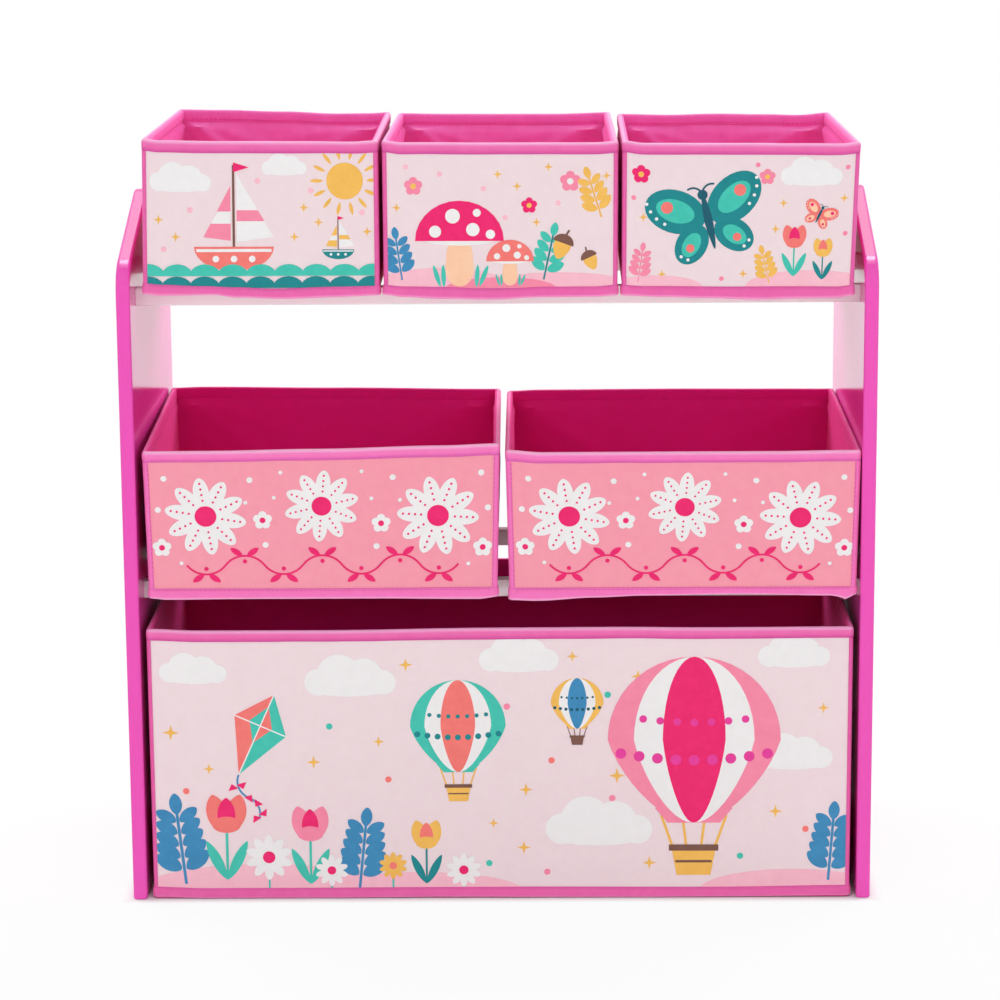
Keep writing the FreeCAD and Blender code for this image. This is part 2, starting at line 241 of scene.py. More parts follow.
# %% soft boxes
# The lamps at the sides and behind the top show in the lacquer, and two glints show
# only there. The others stand for broad soft light from a large room, so nothing
# mirrors them.
SOFT_BOXES = [
    # name, place (one on each side unless x is 0), size, watts, shows in mirrors, lights the rack
    ("front", (0.9, -2.75, 1.3), (0.9, 0.8), 6.3, False, True),
    ("low", (1.25, -2.1, 0.14), (0.9, 0.24), 5.8, False, True),
    ("side", (2.2, -1.15, 0.95), (0.9, 0.9), 3.5, True, True),
    ("rear", (2.0, 1.6, 1.45), (1.6, 1.3), 50, False, True),
    ("top front", (0.0, -1.5, 2.3), (1.8, 1.0), 14, False, True),
    ("top", (0.0, -0.05, 2.75), (1.0, 0.4), 7, False, True),
    ("top rear", (0.0, 1.37, 2.14), (1.6, 0.8), 7.6, True, True),
    ("glint", (0.0, 0.42, 2.6), (1.3, 1.3), 12, True, False),
    ("bright glint", (0.0, 0.7, 2.55), (1.3, 0.7), 22, True, False),
]
middle = (cad_low + cad_high) / 2
for name, (x, y, z), size, watts, mirrored, lights in SOFT_BOXES:
    for side in sorted({-x, x}):
        lamp_data = bpy.data.lights.new(name, "AREA")
        lamp_data.shape = "RECTANGLE"
        lamp_data.size, lamp_data.size_y = size
        lamp_data.energy = watts
        lamp = bpy.data.objects.new(name, lamp_data)
        lamp.visible_camera = False
        lamp.visible_glossy = mirrored
        lamp.visible_diffuse = lights
        scene.collection.objects.link(lamp)
        aim = (middle - Vector((side, y, z))).to_track_quat("-Z", "Y").to_matrix().to_4x4()
        lamp.matrix_world = Matrix.Translation((side, y, z)) @ aim
print("soft boxes:", [row[0] for row in SOFT_BOXES])

# %% [markdown]
# ## Finishes of the frame
# The panels are fibreboard sprayed with pink lacquer. Spraying leaves a faint
# orange peel, and at a low angle the clear surface mirrors the white room, which
# is why the inner faces look pale. The rails carry a white lacquer. The screws are
# zinc plated and the caps over them are moulded plastic.

# %% lacquers
LACQUERS = {
    # name: (colour, second tone, roughness low, roughness high)
    "sprayed pink lacquer": ("#EE4DB6", "#EB4AB7", 0.13, 0.16),
    "sprayed white lacquer": ("#FDFAFB", "#FAF6F7", 0.34, 0.40),
}
# Each pattern of the lacquer: millimetres wide, levels of detail.
TONES, MARKS, PEEL = (160, 2), (45, 2), (2.4, 1)

lacquers = {}
for name, (colour, second, low, high) in LACQUERS.items():
    lacquers[name], tree, shader, place = finish(name, IOR=1.46)
    broad, marks, peel = (
        node(tree, "TexNoise", {"Vector": place, "Scale": per(wide), "Detail": detail})
        for wide, detail in (TONES, MARKS, PEEL)
    )
    tone = node(tree, "Mix", {0: broad, 6: colour, 7: second}, 2, data_type="RGBA")
    rough = node(tree, "MapRange", {0: marks, 1: 0.35, 2: 0.65, 3: low, 4: high})
    bump = node(tree, "Bump", {"Height": peel, "Strength": 0.15, "Distance": 0.02 * MM})
    plug(shader, {"Base Color": tone, "Roughness": rough, "Normal": bump})
print("lacquers:", list(lacquers))

# %% zinc and plastic
# Zinc plate is a bright grey metal with a fine crystalline cloudiness.
zinc = grained(
    "zinc plated steel", ("#B9BEC4", "#D9DCDF"), (0.24, 0.42), 1.5, {"Detail": 4}, Metallic=1.0
)
# Moulded polypropylene is even and waxy, with the fine spark texture of its mould.
mould = ("#E84FB2", "#EF5CBB"), (0.34, 0.5), 0.4, {"Detail": 2}
plastic = grained("moulded pink polypropylene", *mould, relief=0.3, IOR=1.49)
print("fastener finishes:", zinc.name, "and", plastic.name)

# %% the frame takes its finishes
pink, white = lacquers.values()
rails = [f"{level}_{side}_rail" for level in ("top", "middle") for side in ("front", "rear")]
frame_finishes = {"rail_screws": zinc, "screw_caps": plastic}
frame_finishes |= dict.fromkeys(["left_side_panel", "right_side_panel"], pink)
frame_finishes |= dict.fromkeys(rails, white)
for name, made in frame_finishes.items():
    nodes[name].data.materials.clear()
    nodes[name].data.materials.append(made)
print("frame nodes finished:", len(frame_finishes))

# %% [markdown]
# ## Cloth finishes
# The bins are sewn from spunbond polypropylene, a cloth of fused fibres that is
# pressed with rows of tiny bond points. The front panels are the same cloth with a
# printed, laminated skin, so they are smoother and a little glossier. The bond
# points are really about 1.5 mm apart, and are drawn wider so that they show.
# The pattern runs along a wall on X plus Y, which never both change on one wall.

# %% spunbond cloth
BOND_PITCH_MM = 2.2
FIBRE_MM, CLOUD_MM = 0.9, 9


def ripple(tree, axis, pitch):
    """A sine wave along an axis, this many millimetres from crest to crest."""
    phase = node(tree, "Math", {0: axis, 1: 2 * math.pi * per(pitch)}, operation="MULTIPLY")
    return node(tree, "Math", {0: phase}, operation="SINE")


def bonded_cloth(
    name, colour, second, rough, dimple, gloss=0.35, sheen=0.08, nap=0.4, glow=None, lies_flat=False
):
    """Spunbond cloth: fibre clouds in two tones, with bond points pressed in."""
    cloth, tree, shader, place = finish(
        name,
        IOR=1.49,
        Roughness=rough,
        Specular_IOR_Level=gloss,
        Sheen_Weight=sheen,
        Sheen_Roughness=nap,
        Sheen_Tint=glow or colour,
    )
    axes = node(tree, "SeparateXYZ", {0: place}, None)
    first, other = axes["X"], axes["Y"]
    if not lies_flat:
        first, other = node(tree, "Math", {0: first, 1: other}, operation="ADD"), axes["Z"]
    rows, columns = (ripple(tree, axis, BOND_PITCH_MM) for axis in (first, other))
    grid = node(tree, "Math", {0: rows, 1: columns}, operation="MULTIPLY")
    points = node(tree, "MapRange", {0: grid, 1: 0.35, 2: 0.9})
    clouds = node(
        tree, "TexNoise", {"Vector": place, "Scale": per(CLOUD_MM), "Detail": 8, "Roughness": 0.65}
    )
    fibres = node(tree, "TexNoise", {"Vector": place, "Scale": per(FIBRE_MM), "Detail": 3})
    spread = node(tree, "MapRange", {0: clouds, 1: 0.3, 2: 0.7})
    deeper = node(tree, "Math", {0: points, 1: dimple, 2: spread}, operation="MULTIPLY_ADD")
    tone = node(tree, "Mix", {0: deeper, 6: colour, 7: second}, 2, data_type="RGBA")
    height = node(tree, "Math", {0: points, 1: -dimple, 2: fibres}, operation="MULTIPLY_ADD")
    bump = node(tree, "Bump", {"Height": height, "Strength": 0.4, "Distance": 0.12 * MM})
    plug(shader, {"Base Color": tone, "Normal": bump})
    return cloth


pale_ground = bonded_cloth("laminated cloth pale print", "#ECD9DD", "#E9D5D9", 0.5, 0.25)
salmon_ground = bonded_cloth("laminated cloth salmon print", "#F39BAC", "#F195A7", 0.5, 0.25)
pink_cloth = bonded_cloth("pink spunbond cloth", "#EA4396", "#E23488", 0.52, 0.9, gloss=0.15)
lining_cloth = bonded_cloth(
    "pink spunbond lining", "#E61193", "#E00B89", 0.55, 0.9, gloss=0.25, sheen=1.0, nap=0.7, glow="#FF70B8"
)
# The top bins' lining is the same cloth, painted lighter where more light falls into them.
lit_loose_lining = bonded_cloth(
    "loose pink spunbond lining", "#F86EC0", "#F262B6", 0.45, 0.9, sheen=0.2, glow="#FFA0D2"
)
pad_cloth = bonded_cloth("pink spunbond on base board", "#F02F97", "#E8258D", 0.5, 0.9, lies_flat=True)
print("cloths:", pale_ground.name, salmon_ground.name, pink_cloth.name, lining_cloth.name)

# %% binding tape
RIB_MM, SLUB_MM = 1.3, 9

# Woven polyester binding has fine ribs across its length. A painted highlight makes it
# paler where it turns over a fold. It is deeper along the edges where it is sewn down,
# as the piece's own attribute says, from 1 at a fold to -1 at a seam. The middle bins
# are bound with a slightly lighter lot.
TAPES = {
    # name: (colour, second tone, painted highlight on a fold, tone along a seam)
    "pink": ("#E45CA4", "#EB6EB0", "#F7B0DA", "#D0489A"),
    "light pink": ("#EE6CB2", "#F47EC0", "#FBBEE2", "#DA5CB0"),
}

tapes = {}
for name, (colour, second, highlight_on_fold, on_seam) in TAPES.items():
    tapes[name], tree, shader, place = finish(
        f"woven polyester binding {name}",
        IOR=1.5,
        Specular_IOR_Level=0.25,
        Sheen_Weight=0.3,
        Sheen_Roughness=0.4,
        Sheen_Tint=second,
    )
    axes = node(tree, "SeparateXYZ", {0: place}, None)
    along = node(tree, "Math", {0: axes["X"], 1: axes["Y"]}, operation="ADD")
    slub = node(tree, "TexNoise", {"Vector": place, "Scale": per(SLUB_MM), "Detail": 6})
    # This attribute paints a highlight onto folds and a deeper tone along seams.
    fold = node(tree, "Attribute", {}, "Fac", attribute_name="fold")
    seam = node(tree, "Math", {0: fold, 1: -1}, operation="MULTIPLY")
    tone = colour
    for share, other in ((slub, second), (fold, highlight_on_fold), (seam, on_seam)):
        tone = node(tree, "Mix", {0: share, 6: tone, 7: other}, 2, data_type="RGBA")
    rough = node(tree, "MapRange", {0: slub, 3: 0.42, 4: 0.6})
    ribs = ripple(tree, along, RIB_MM)
    bump = node(tree, "Bump", {"Height": ribs, "Strength": 0.25, "Distance": 0.06 * MM})
    plug(shader, {"Base Color": tone, "Roughness": rough, "Normal": bump})
print("tapes:", list(tapes))

# %% thread and board
# Sewing thread is a glossy twisted yarn. It matches the tape outside and the lining
# inside, and is a shade deeper down the front edges.
THREADS = {
    "tape pink": ("#D2509C", "#DC5CA6"),
    "lining pink": ("#D4147C", "#DC1C86"),
    "edge pink": ("#C4489A", "#D660AC"),
}

threads = {}
for name, tones in THREADS.items():
    yarn = f"twisted polyester thread {name}"
    threads[name] = grained(yarn, tones, (0.35, 0.55), 1.2, {"Distortion": 1.5}, wave=True, Sheen_Weight=0.2)
# Grey board is pressed from pulped paper, with darker flecks and a dull surface.
board_finish = grained(
    "recycled grey board", ("#8F8A83", "#B4AEA5"), (0.8, 0.95), 3, {"Detail": 8, "Roughness": 0.7}
)
print("sewing finishes:", list(threads), board_finish.name)

# %% [markdown]
# ## How each bin stands
# A sewn bin is never quite square. Its rim dips between its corners, its hem hangs
# in a wavy line, and it stands a little askew. The CAD model gives the straight
# bin. Each line of the table below gives heights over that straight bin, in
# millimetres, at places from -1 at its left end to 1 at its right end. The spread
# says how far the left and right walls lean over, at the front and then at the rear,
# and foot_lean how much further they lean at the foot.

# %% the six bins
BINS = {
    "top_left_bin": {
        "front": [(-1, 4.6), (-0.86, 2.9), (-0.33, 1.9), (0.33, 1.5), (0.8, 0.9), (1, 1.9)],
        "rear": [(-1, 5.2), (-0.6, 4.5), (0, 2.8), (0.5, 0.7), (0.8, 0.8), (1, 1.6)],
        "hem_top": [(-1, 9.3), (-0.86, 8.2), (-0.5, 6.8), (-0.2, 5.7), (0.1, 4.4), (0.65, 5.9), (1, 6.4)],
        "hem_foot": [
            (-1, 0.0), (-0.86, -1.2), (-0.42, -0.6), (-0.2, -3.0), (0.2, -4.2), (0.65, -2.9), (1, -1.7)
        ],
        "spread": ((0.0, 0.0), (1.6, -1.6)),
        "foot_lean": (-2.2, -0.1),
    },
    "top_centre_bin": {
        "front": [(-1, 2.0), (-0.84, 0.1), (0, -0.5), (0.82, -0.8), (1, 0.3)],
        "rear": [(-1, 0.6), (-0.5, -0.2), (0, -0.5), (0.5, -0.7), (1, 0.4)],
        "hem_top": [
            (-1, 7.0), (-0.83, 5.7), (-0.5, 5.2), (-0.2, 3.8), (0.1, 3.8), (0.4, 4.9), (0.82, 4.9), (1, 6.2)
        ],
        "hem_foot": [
            (-1, -1.2), (-0.83, -3.2), (-0.5, -4.9), (-0.1, -5.7), (0.4, -3.9), (0.82, -3.7), (1, -2.6)
        ],
        "spread": ((0.0, 0.0), (1.6, -1.6)),
        "foot_lean": (0.0, -0.7),
    },
    "top_right_bin": {
        "front": [(-1, 0.6), (-0.82, -1.5), (0, -2.0), (0.5, -2.6), (0.85, -2.9), (1, -1.6)],
        "rear": [(-1, -1.2), (-0.5, -2.2), (-0.1, -1.4), (0.4, -2.2), (0.7, -3.0), (1, -1.0)],
        "hem_top": [(-1, 6.0), (-0.8, 5.0), (0, 4.2), (0.5, 4.2), (0.85, 3.8), (1, 5.0)],
        "hem_foot": [
            (-1, -2.9), (-0.65, -4.2), (-0.3, -5.3), (0.18, -6.8), (0.5, -6.1), (0.85, -5.8), (1, -3.8)
        ],
        "spread": ((0.0, 1.2), (1.6, -1.6)),
        "foot_lean": (-0.6, -4.2),
    },
    "middle_left_bin": {
        "front": [(-1, -4.9), (-0.65, -4.8), (0, -3.4), (0.67, -1.0), (1, 0.6)],
        "rear": [(-1, 3.4), (-0.8, 4.2), (0, 2.9), (1, 1.0)],
        "hem_top": [(-1, 2.0), (0, 1.7), (1, 2.4)],
        "hem_foot": [(-1, -6.4), (-0.9, -7.6), (-0.5, -7.2), (0.3, -7.2), (0.9, -7.9), (1, -6.0)],
        "spread": ((-0.7, 2.3), (-5.2, -0.5)),
        "foot_lean": (2.7, -2.7),
    },
    "middle_right_bin": {
        "front": [(-1, -5.0), (-0.8, -7.2), (0, -7.1), (0.5, -7.1), (1, -6.3)],
        "rear": [(-1, -1.0), (-0.8, 0.1), (0, 0.5), (0.6, 0.1), (1, -0.3)],
        "hem_top": [(-1, 1.6), (0, 1.6), (1, 1.7)],
        "hem_foot": [
            (-1, -9.0), (-0.85, -9.8), (-0.5, -7.0), (-0.2, -5.4), (0.3, -4.5), (0.87, -6.0), (0.95, -9.4),
            (1, -5.2),
        ],
        "spread": ((2.4, 3.0), (1.2, 2.6)),
        "foot_lean": (2.7, -2.7),
    },
    "bottom_bin": {
        "front": [(-1, -1.2), (-0.85, -2.8), (-0.5, -2.9), (0, -1.2), (0.33, -0.9), (0.6, -1.6), (1, -1.2)],
        "rear": [(-1, 0.8), (-0.5, -0.8), (0.4, -1.2), (1, 0.6)],
        "hem_top": [(-1, 10.4), (-0.85, 9.0), (0, 9.6), (0.6, 9.0), (1, 10.4)],
        "hem_foot": [(-1, 1.2), (-0.85, 0.1), (-0.5, 0.1), (-0.15, 0.6), (0.33, 0.1), (0.65, 0.3), (1, 1.2)],
        "spread": ((0.0, 0.0), (0.0, 0.0)),
        "foot_lean": (0.5, -0.5),
    },
}

# Each bin reads the noise at a place of its own.
SEED_STEP = (31.7, 11.3, 7.9)
bins = []
for order, (name, stance) in enumerate(BINS.items()):
    level = name.split("_")[0]
    low, high = (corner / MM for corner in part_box(name + "_cover"))
    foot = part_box(name + "_floor_panel")[0].z / MM
    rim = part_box(name + "_tape")[1].z / MM
    made = SimpleNamespace(name=name, level=level, low=low, high=high, foot=foot, rim=rim, **stance)
    made.mid, made.half = (low + high) / 2, (high - low) / 2
    made.seed = Vector([order * step for step in SEED_STEP])
    bins.append(made)
    print(name, "is", [round(2 * c, 1) for c in made.half], "mm")

# %% how a bin settles


def eased(points, place):
    """A smooth line through the points, read at a place from -1 to 1."""
    for (start, first), (end, second) in zip(points, points[1:]):
        if place <= end:
            share = max(0.0, (place - start) / (end - start))
            return first + (second - first) * (0.5 - 0.5 * math.cos(math.pi * share))
    return points[-1][1]


def settle(b, point):
    """Where a point of the straight bin comes to lie once the bin stands on its rack."""
    across = (point.x - b.mid.x) / b.half.x
    back = min(1.0, max(0.0, (point.y - b.low.y) / (2 * b.half.y)))
    up = max(0.0, (point.z - b.low.z) / (2 * b.half.z))
    rise = eased(b.front, across) * (1 - back) + eased(b.rear, across) * back
    left, right = (front * (1 - back) + rear * back for front, rear in zip(*b.spread))
    foot_left, foot_right = b.foot_lean
    share = (across + 1) / 2
    lean = left + (right - left) * share
    lean += (foot_left + (foot_right - foot_left) * share) * (1 - min(up, 1))
    return Vector((point.x + lean, point.y, point.z + rise * up))


print("the front rim of", bins[0].name, "rises", eased(bins[0].front, -1), "mm at its left corner")

# %% [markdown]
# ## Loops and sweeps
# Cover, tape and floor cloth all follow the same rounded rectangle round the bin.
# A box could be scaled and bevelled for each, but then cloth and tape would not
# share their folds. So one loop of edges is made from a bevelled grid, and each
# piece is extruded from it step by step, like a row of knitting.

# %% one loop round a bin
CORNER = 2.8
LEAST_CORNER = 0.6
POINT_PITCH = {"top": 3.5, "middle": 6.0, "bottom": 7.0}
WALL = 3.9
# An outward direction belongs to the front when its y is below the first of these,
# and to a side when the size of its x is over the second.
FRONTMOST, SIDEMOST = -0.99, 0.7


def rim_loop(b):
    """A bmesh with one closed loop of edges on the outer face of the cover."""
    bm = bmesh.new()
    wall = bm.verts.layers.float_vector.new("wall")
    outward = bm.verts.layers.float_vector.new("outward")
    bmesh.ops.create_grid(bm, x_segments=1, y_segments=1, size=1)
    bmesh.ops.scale(bm, vec=(b.half.x, b.half.y, 1), verts=bm.verts)
    rounding = {"affect": "VERTICES", "offset": CORNER, "offset_type": "OFFSET"}
    bmesh.ops.bevel(bm, geom=bm.verts[:], segments=5, profile=0.5, material=-1, **rounding)
    bmesh.ops.delete(bm, geom=bm.faces[:], context="FACES_ONLY")
    for half in (b.half.x, b.half.y):
        sides = [e for e in bm.edges if abs(e.calc_length() - 2 * (half - CORNER)) < 0.01]
        bmesh.ops.subdivide_edges(bm, edges=sides, cuts=round(2 * half / POINT_PITCH[b.level]))
    reach = Vector((b.half.x - CORNER, b.half.y - CORNER, 0))
    for v in bm.verts:
        inner = Vector((max(-reach.x, min(reach.x, v.co.x)), max(-reach.y, min(reach.y, v.co.y)), 0))
        v[outward] = (v.co - inner).normalized()
        v[wall] = Vector((b.mid.x + v.co.x, b.mid.y + v.co.y, 0))
    return bm, wall, outward


def beside(b, wall, outward, out):
    """The point this far out from a point of the wall; further in, the corners stay round."""
    radius = max(CORNER + out, LEAST_CORNER)
    centre = wall - b.mid - CORNER * outward
    x = centre.x * (b.half.x + out - radius) / (b.half.x - CORNER)
    y = centre.y * (b.half.y + out - radius) / (b.half.y - CORNER)
    return Vector((b.mid.x + x, b.mid.y + y, 0)) + radius * outward


loop = rim_loop(bins[0])[0]
print("a loop round", bins[0].name, "has", len(loop.edges), "edges")
loop.free()

# %% sweeping a loop
SHARP_FROM = math.radians(40)


def sweep(bm, steps, place):
    """Carries the open or closed loop in bm through the steps; gives the rows of faces and the last edges."""
    edges = bm.edges[:]
    for v in bm.verts:
        place(v, steps[0])
    rows = []
    for step in steps[1:]:
        made = bmesh.ops.extrude_edge_only(bm, edges=edges)["geom"]
        fresh = {g for g in made if isinstance(g, bmesh.types.BMVert)}
        edges = [g for g in made if isinstance(g, bmesh.types.BMEdge) and fresh.issuperset(g.verts)]
        for v in fresh:
            place(v, step)
        rows.append([g for g in made if isinstance(g, bmesh.types.BMFace)])
    return rows, edges


def turn_out(bm):
    """Makes all faces look outwards."""
    bmesh.ops.recalc_face_normals(bm, faces=bm.faces[:])


def gather(parts):
    """Several bmeshes as one."""
    whole = bmesh.new()
    for part in parts:
        holder = bpy.data.meshes.new("holder")
        part.to_mesh(holder)
        part.free()
        whole.from_mesh(holder)
        bpy.data.meshes.remove(holder)
    return whole


def hand_over(bm, b, name, finishes, stands_for=()):
    """Settles a piece, turns its millimetres to metres and lets it ride on its bin."""
    for v in bm.verts:
        v.co = settle(b, v.co) * MM
    piece = as_object(bm, f"{b.name}_{name}", finishes)
    piece.data.shade_smooth()
    piece.data.set_sharp_from_angle(angle=SHARP_FROM)
    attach(piece, b.name)
    if stands_for:
        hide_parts(*[f"{b.name}_{node_name}" for node_name in stands_for])
    return piece


print("cloth shows an edge from", round(math.degrees(SHARP_FROM)), "degrees")

# %% [markdown]
# ## Covers
# The cover is cloth on both sides of stiff board: the outside goes up, over the rim
# and down again as the lining. It could be five plates, but then no fold would run
# through. Here one loop is swept up, over and down, and the cloth stands off its
# board by a few tenths to a few millimetres, in soft swells and in creases that
# pull from the upper corners.

# %% how slack the cloth is
SWELL_MM, PUCKER_MM = 75, 24
SLACK = {
    # kind of cloth: (broad swell, fine puckers, corner creases)
    "print": (0.8, 0.0, 0.0),
    "cloth": (1.3, 0.7, 0.8),
    "lining": (2.4, 1.2, 3.6),
    "loose lining": (3.0, 1.6, 6.5),
}
# Each crease starts at an upper corner: slope down the wall, half width, share of its depth.
# It falls more steeply at the left or front end of a wall than at the other.
CREASES = [(0.62, 6.0, 1.0), (1.3, 6.0, 0.5), (0.28, 5.0, 0.6)]
CREASE_START, CREASE_REACH = 4, 70
FIRST_STEEP, OTHER_STEEP = 1.1, 0.7
TAPE_DEPTH = 9.5
# Seams hold cloth to its board for some way: below the tape and from a wall's ends, and over the foot.
LINING_HELD, OUTSIDE_HELD, FOOT_HELD = (5, 8), (14, 16), 16


def slack(b, kind, spot, height, across_wall, half_wall):
    """How far cloth stands off its board, in mm, at a spot on a wall."""
    swell, pucker, crease = SLACK[kind]
    below_rim = b.high.z - height - TAPE_DEPTH
    ends = half_wall - CORNER - abs(across_wall)
    from_tape, from_end = LINING_HELD if "lining" in kind else OUTSIDE_HELD
    room = min(1.0, below_rim / from_tape, (height - b.low.z) / FOOT_HELD, ends / from_end)
    if room <= 0:
        return 0.0
    room = room * room * (3 - 2 * room)
    at = Vector((spot.x, spot.y, height))
    broad = 0.5 + 0.5 * noise.noise(at / SWELL_MM + b.seed)
    fine = max(0.0, noise.noise(Vector((at.x, at.y, 0.35 * at.z)) / PUCKER_MM - b.seed))
    pull = 0.0
    from_corner = half_wall - abs(across_wall)
    steep = OTHER_STEEP if across_wall > 0 else FIRST_STEEP
    for slope, width, share in CREASES if crease else ():
        line = below_rim - slope * from_corner * steep + CREASE_START
        pull += share * math.exp(-from_corner / CREASE_REACH) * math.exp(-((line / width) ** 2))
    return room * (swell * broad + pucker * fine + crease * pull)


def wall_place(b, base, out):
    """Where a point of a loop is along its wall, and half that wall's length."""
    if abs(out.x) > abs(out.y):
        return base.y - b.mid.y, b.half.y
    return base.x - b.mid.x, b.half.x


print("cloth stands off by up to", SLACK["loose lining"][0], "mm, more in creases")


# %% sewing the covers
SKIN = 0.8
SIDE_SLACK_SHARE = 0.4
# The lining reads its swells at another place than the outside, so the two differ.
LINING_SHIFT = 40
RIM_DEPTH, OUTER_RIM_ROWS = 3, 3
FRONT_BAND = 1.5
RIM_ROUND = [(-0.35, -1.1), (-1.1, -0.25), (-1.95, 0.0), (-2.8, -0.25), (-3.55, -1.1)]
COVER_SLOTS = {"top": "pale_print", "middle": "salmon_print", "bottom": "pale_print"}
GROUNDS = {"pale_print": pale_ground, "salmon_print": salmon_ground}


def lining_of(b):
    """The top bins are lined with a looser cloth, whose colour is painted lighter as painted light."""
    return lit_loose_lining if b.level == "top" else lining_cloth


def sew_cover(b):
    """The sewn cover of one bin: outer cloth, rim and lining in one sweep."""
    bm, wall, outward = rim_loop(b)
    rows_up = round(2 * b.half.z / POINT_PITCH[b.level])
    heights = [b.low.z + i * (b.high.z - RIM_DEPTH - b.low.z) / rows_up for i in range(rows_up + 1)]
    steps = [(0.0, height, "outer") for height in heights]
    steps += [(out, b.high.z + drop, None) for out, drop in RIM_ROUND]
    lining = "loose lining" if b.level == "top" else "lining"
    steps += [(-WALL, height, lining) for height in reversed(heights)]

    def place(v, step):
        out, height, kind = step
        across, half = wall_place(b, v[wall], v[outward])
        if kind == lining:
            share = SIDE_SLACK_SHARE if abs(v[outward].x) > abs(v[outward].y) else 1
            out -= share * slack(b, kind, v[wall] - LINING_SHIFT * v[outward], height, across, half)
        elif kind == "outer":
            kind = "print" if v[outward].y < FRONTMOST else "cloth"
            out += slack(b, kind, v[wall], height, across, half)
        v.co = beside(b, v[wall], v[outward], out)
        v.co.z = height

    rows = sweep(bm, steps, place)[0]
    for order, row in enumerate(rows):
        for face in row:
            face.material_index = 1 if order < rows_up + OUTER_RIM_ROWS else 2
            spot = face.calc_center_median()
            on_front = spot.y < b.low.y + FRONT_BAND and abs(spot.x - b.mid.x) < b.half.x - CORNER
            if order < rows_up and on_front:
                face.material_index = 0
    turn_out(bm)
    bmesh.ops.solidify(bm, geom=bm.faces[:], thickness=SKIN)
    slot = COVER_SLOTS[b.level]
    finishes = [GROUNDS[slot], pink_cloth, lining_of(b)]
    return hand_over(bm, b, "sewn_cover", finishes, ["cover"])


for b in bins:
    cover = sew_cover(b)
    print(cover.name, len(cover.data.polygons), "faces")

# %% [markdown]
# ## Binding
# Tape is folded over the rim, runs down the two front edges and along the front
# hem, where it is doubled and hangs below the foot. A tape has a rounded fold and
# thickness of its own, so its closed profile is swept along the loop. The hem is a
# fuller roll and follows the wavy hem line of its bin.

# %% tape profiles
# Steps are (distance out from the cover, height over the rim, painted highlight on the fold, or below zero
# the deeper tone at the cut edge).
RIM_TAPE = [
    (0.05, -9.4, -1.0), (0.62, -9.5, -1.0), (0.9, -8.9, -0.8), (1.1, -6.0, 0.0), (1.1, -3.0, 0.1),
    (0.85, -1.5, 0.6), (0.15, -0.5, 1.0), (-0.7, -0.05, 1.0), (-1.6, 0.05, 1.0), (-2.5, 0.0, 0.5),
    (-3.3, -0.15, 0.0), (-4.1, -0.6, 0.0), (-4.6, -1.6, 0.0), (-4.85, -3.0, 0.0), (-4.85, -6.0, 0.0),
    (-4.75, -8.9, 0.0), (-4.52, -9.5, 0.0), (-3.95, -9.4, 0.0), (-3.93, -2.4, 0.0), (-3.4, -1.2, 0.0),
    (-1.95, -0.65, 0.0), (-0.5, -1.2, 0.0), (0.03, -2.4, 0.0),
]
# The hem's steps are (distance out from the cover, share of the way up the hem).
HEM_TAPE = [
    (0.2, 0.06), (0.9, 0.0), (1.7, 0.06), (2.0, 0.25), (1.9, 0.6), (1.5, 0.86),
    (0.9, 0.98), (0.35, 1.0), (0.08, 0.94), (0.06, 0.6), (0.0, 0.3),
]
# From this row of the rim on, the fold is covered by the lining. Inside the larger
# bins the tape is pressed flatter. The painted highlight on the fold is weaker on the
# side rims, most of all on the middle bins. The hem has a painted highlight on its
# bottom fold and a deeper tone along its top.
LINING_ROW = 9
INNER_RELIEF = {"top": 1.0, "middle": 0.4, "bottom": 0.4}
SIDE_FOLD_HIGHLIGHT = {"top": 0.9, "middle": 0.3, "bottom": 0.5}
HEM_FOLD_HIGHLIGHT = {"top": 0.7, "middle": 0.7, "bottom": 0.3}
HEM_SEAM = -0.6
FOLD_BELOW, SEAM_ABOVE = 0.1, 0.9
# The cut edges of the tape wander by these millimetres, over these lengths.
RIM_WAVE, RIM_WAVE_MM = 0.35, 30
CUT_EDGE = -8.5
HEM_WAVE, HEM_WAVE_MM = 0.5, 34
# Hem and edge tapes reach this far round a corner, beyond its rounding.
TURN = 9
EDGE_TAPE_OUT, EDGE_TAPE_THICK = 0.06, 0.75
EDGE_TAPE_REACH = {"top": 0.2, "middle": 1.3, "bottom": 0.2}
# The edge tape runs under the hem tape and stops just below the rim tape.
HEM_LAP, RIM_GAP = 2, 0.1
# A face looks inwards when its direction is further in than this.
INWARDS = 0.3


def hem_line(b, line, x):
    """Height of the hem's top or foot at a place along the front."""
    across = max(-1.0, min(1.0, (x - b.mid.x) / b.half.x))
    return b.foot + eased(line, across)


def bind_rim(b):
    """Tape folded over the whole rim."""
    bm, wall, outward = rim_loop(b)
    fold = bm.verts.layers.float.new("fold")

    def place(v, step):
        out, drop, tone = step
        if out < -WALL:
            out = -WALL + (out + WALL) * INNER_RELIEF[b.level]
        on_side = abs(v[outward].x) > SIDEMOST
        # The fold gets a painted highlight, weaker on side rims; below zero is the deeper tone at the cut
        # edge.
        v[fold] = tone * SIDE_FOLD_HIGHLIGHT[b.level] if on_side and tone > 0 else tone
        wave = RIM_WAVE * noise.noise(v[wall] / RIM_WAVE_MM + b.seed)
        v.co = beside(b, v[wall], v[outward], out)
        v.co.z = b.rim + drop + (wave if drop < CUT_EDGE else 0)

    first = bm.edges[:]
    rows, last = sweep(bm, RIM_TAPE, place)
    for row in rows[LINING_ROW:]:
        for face in row:
            face.material_index = 1
    bmesh.ops.bridge_loops(bm, edges=first + last)
    turn_out(bm)
    return bm


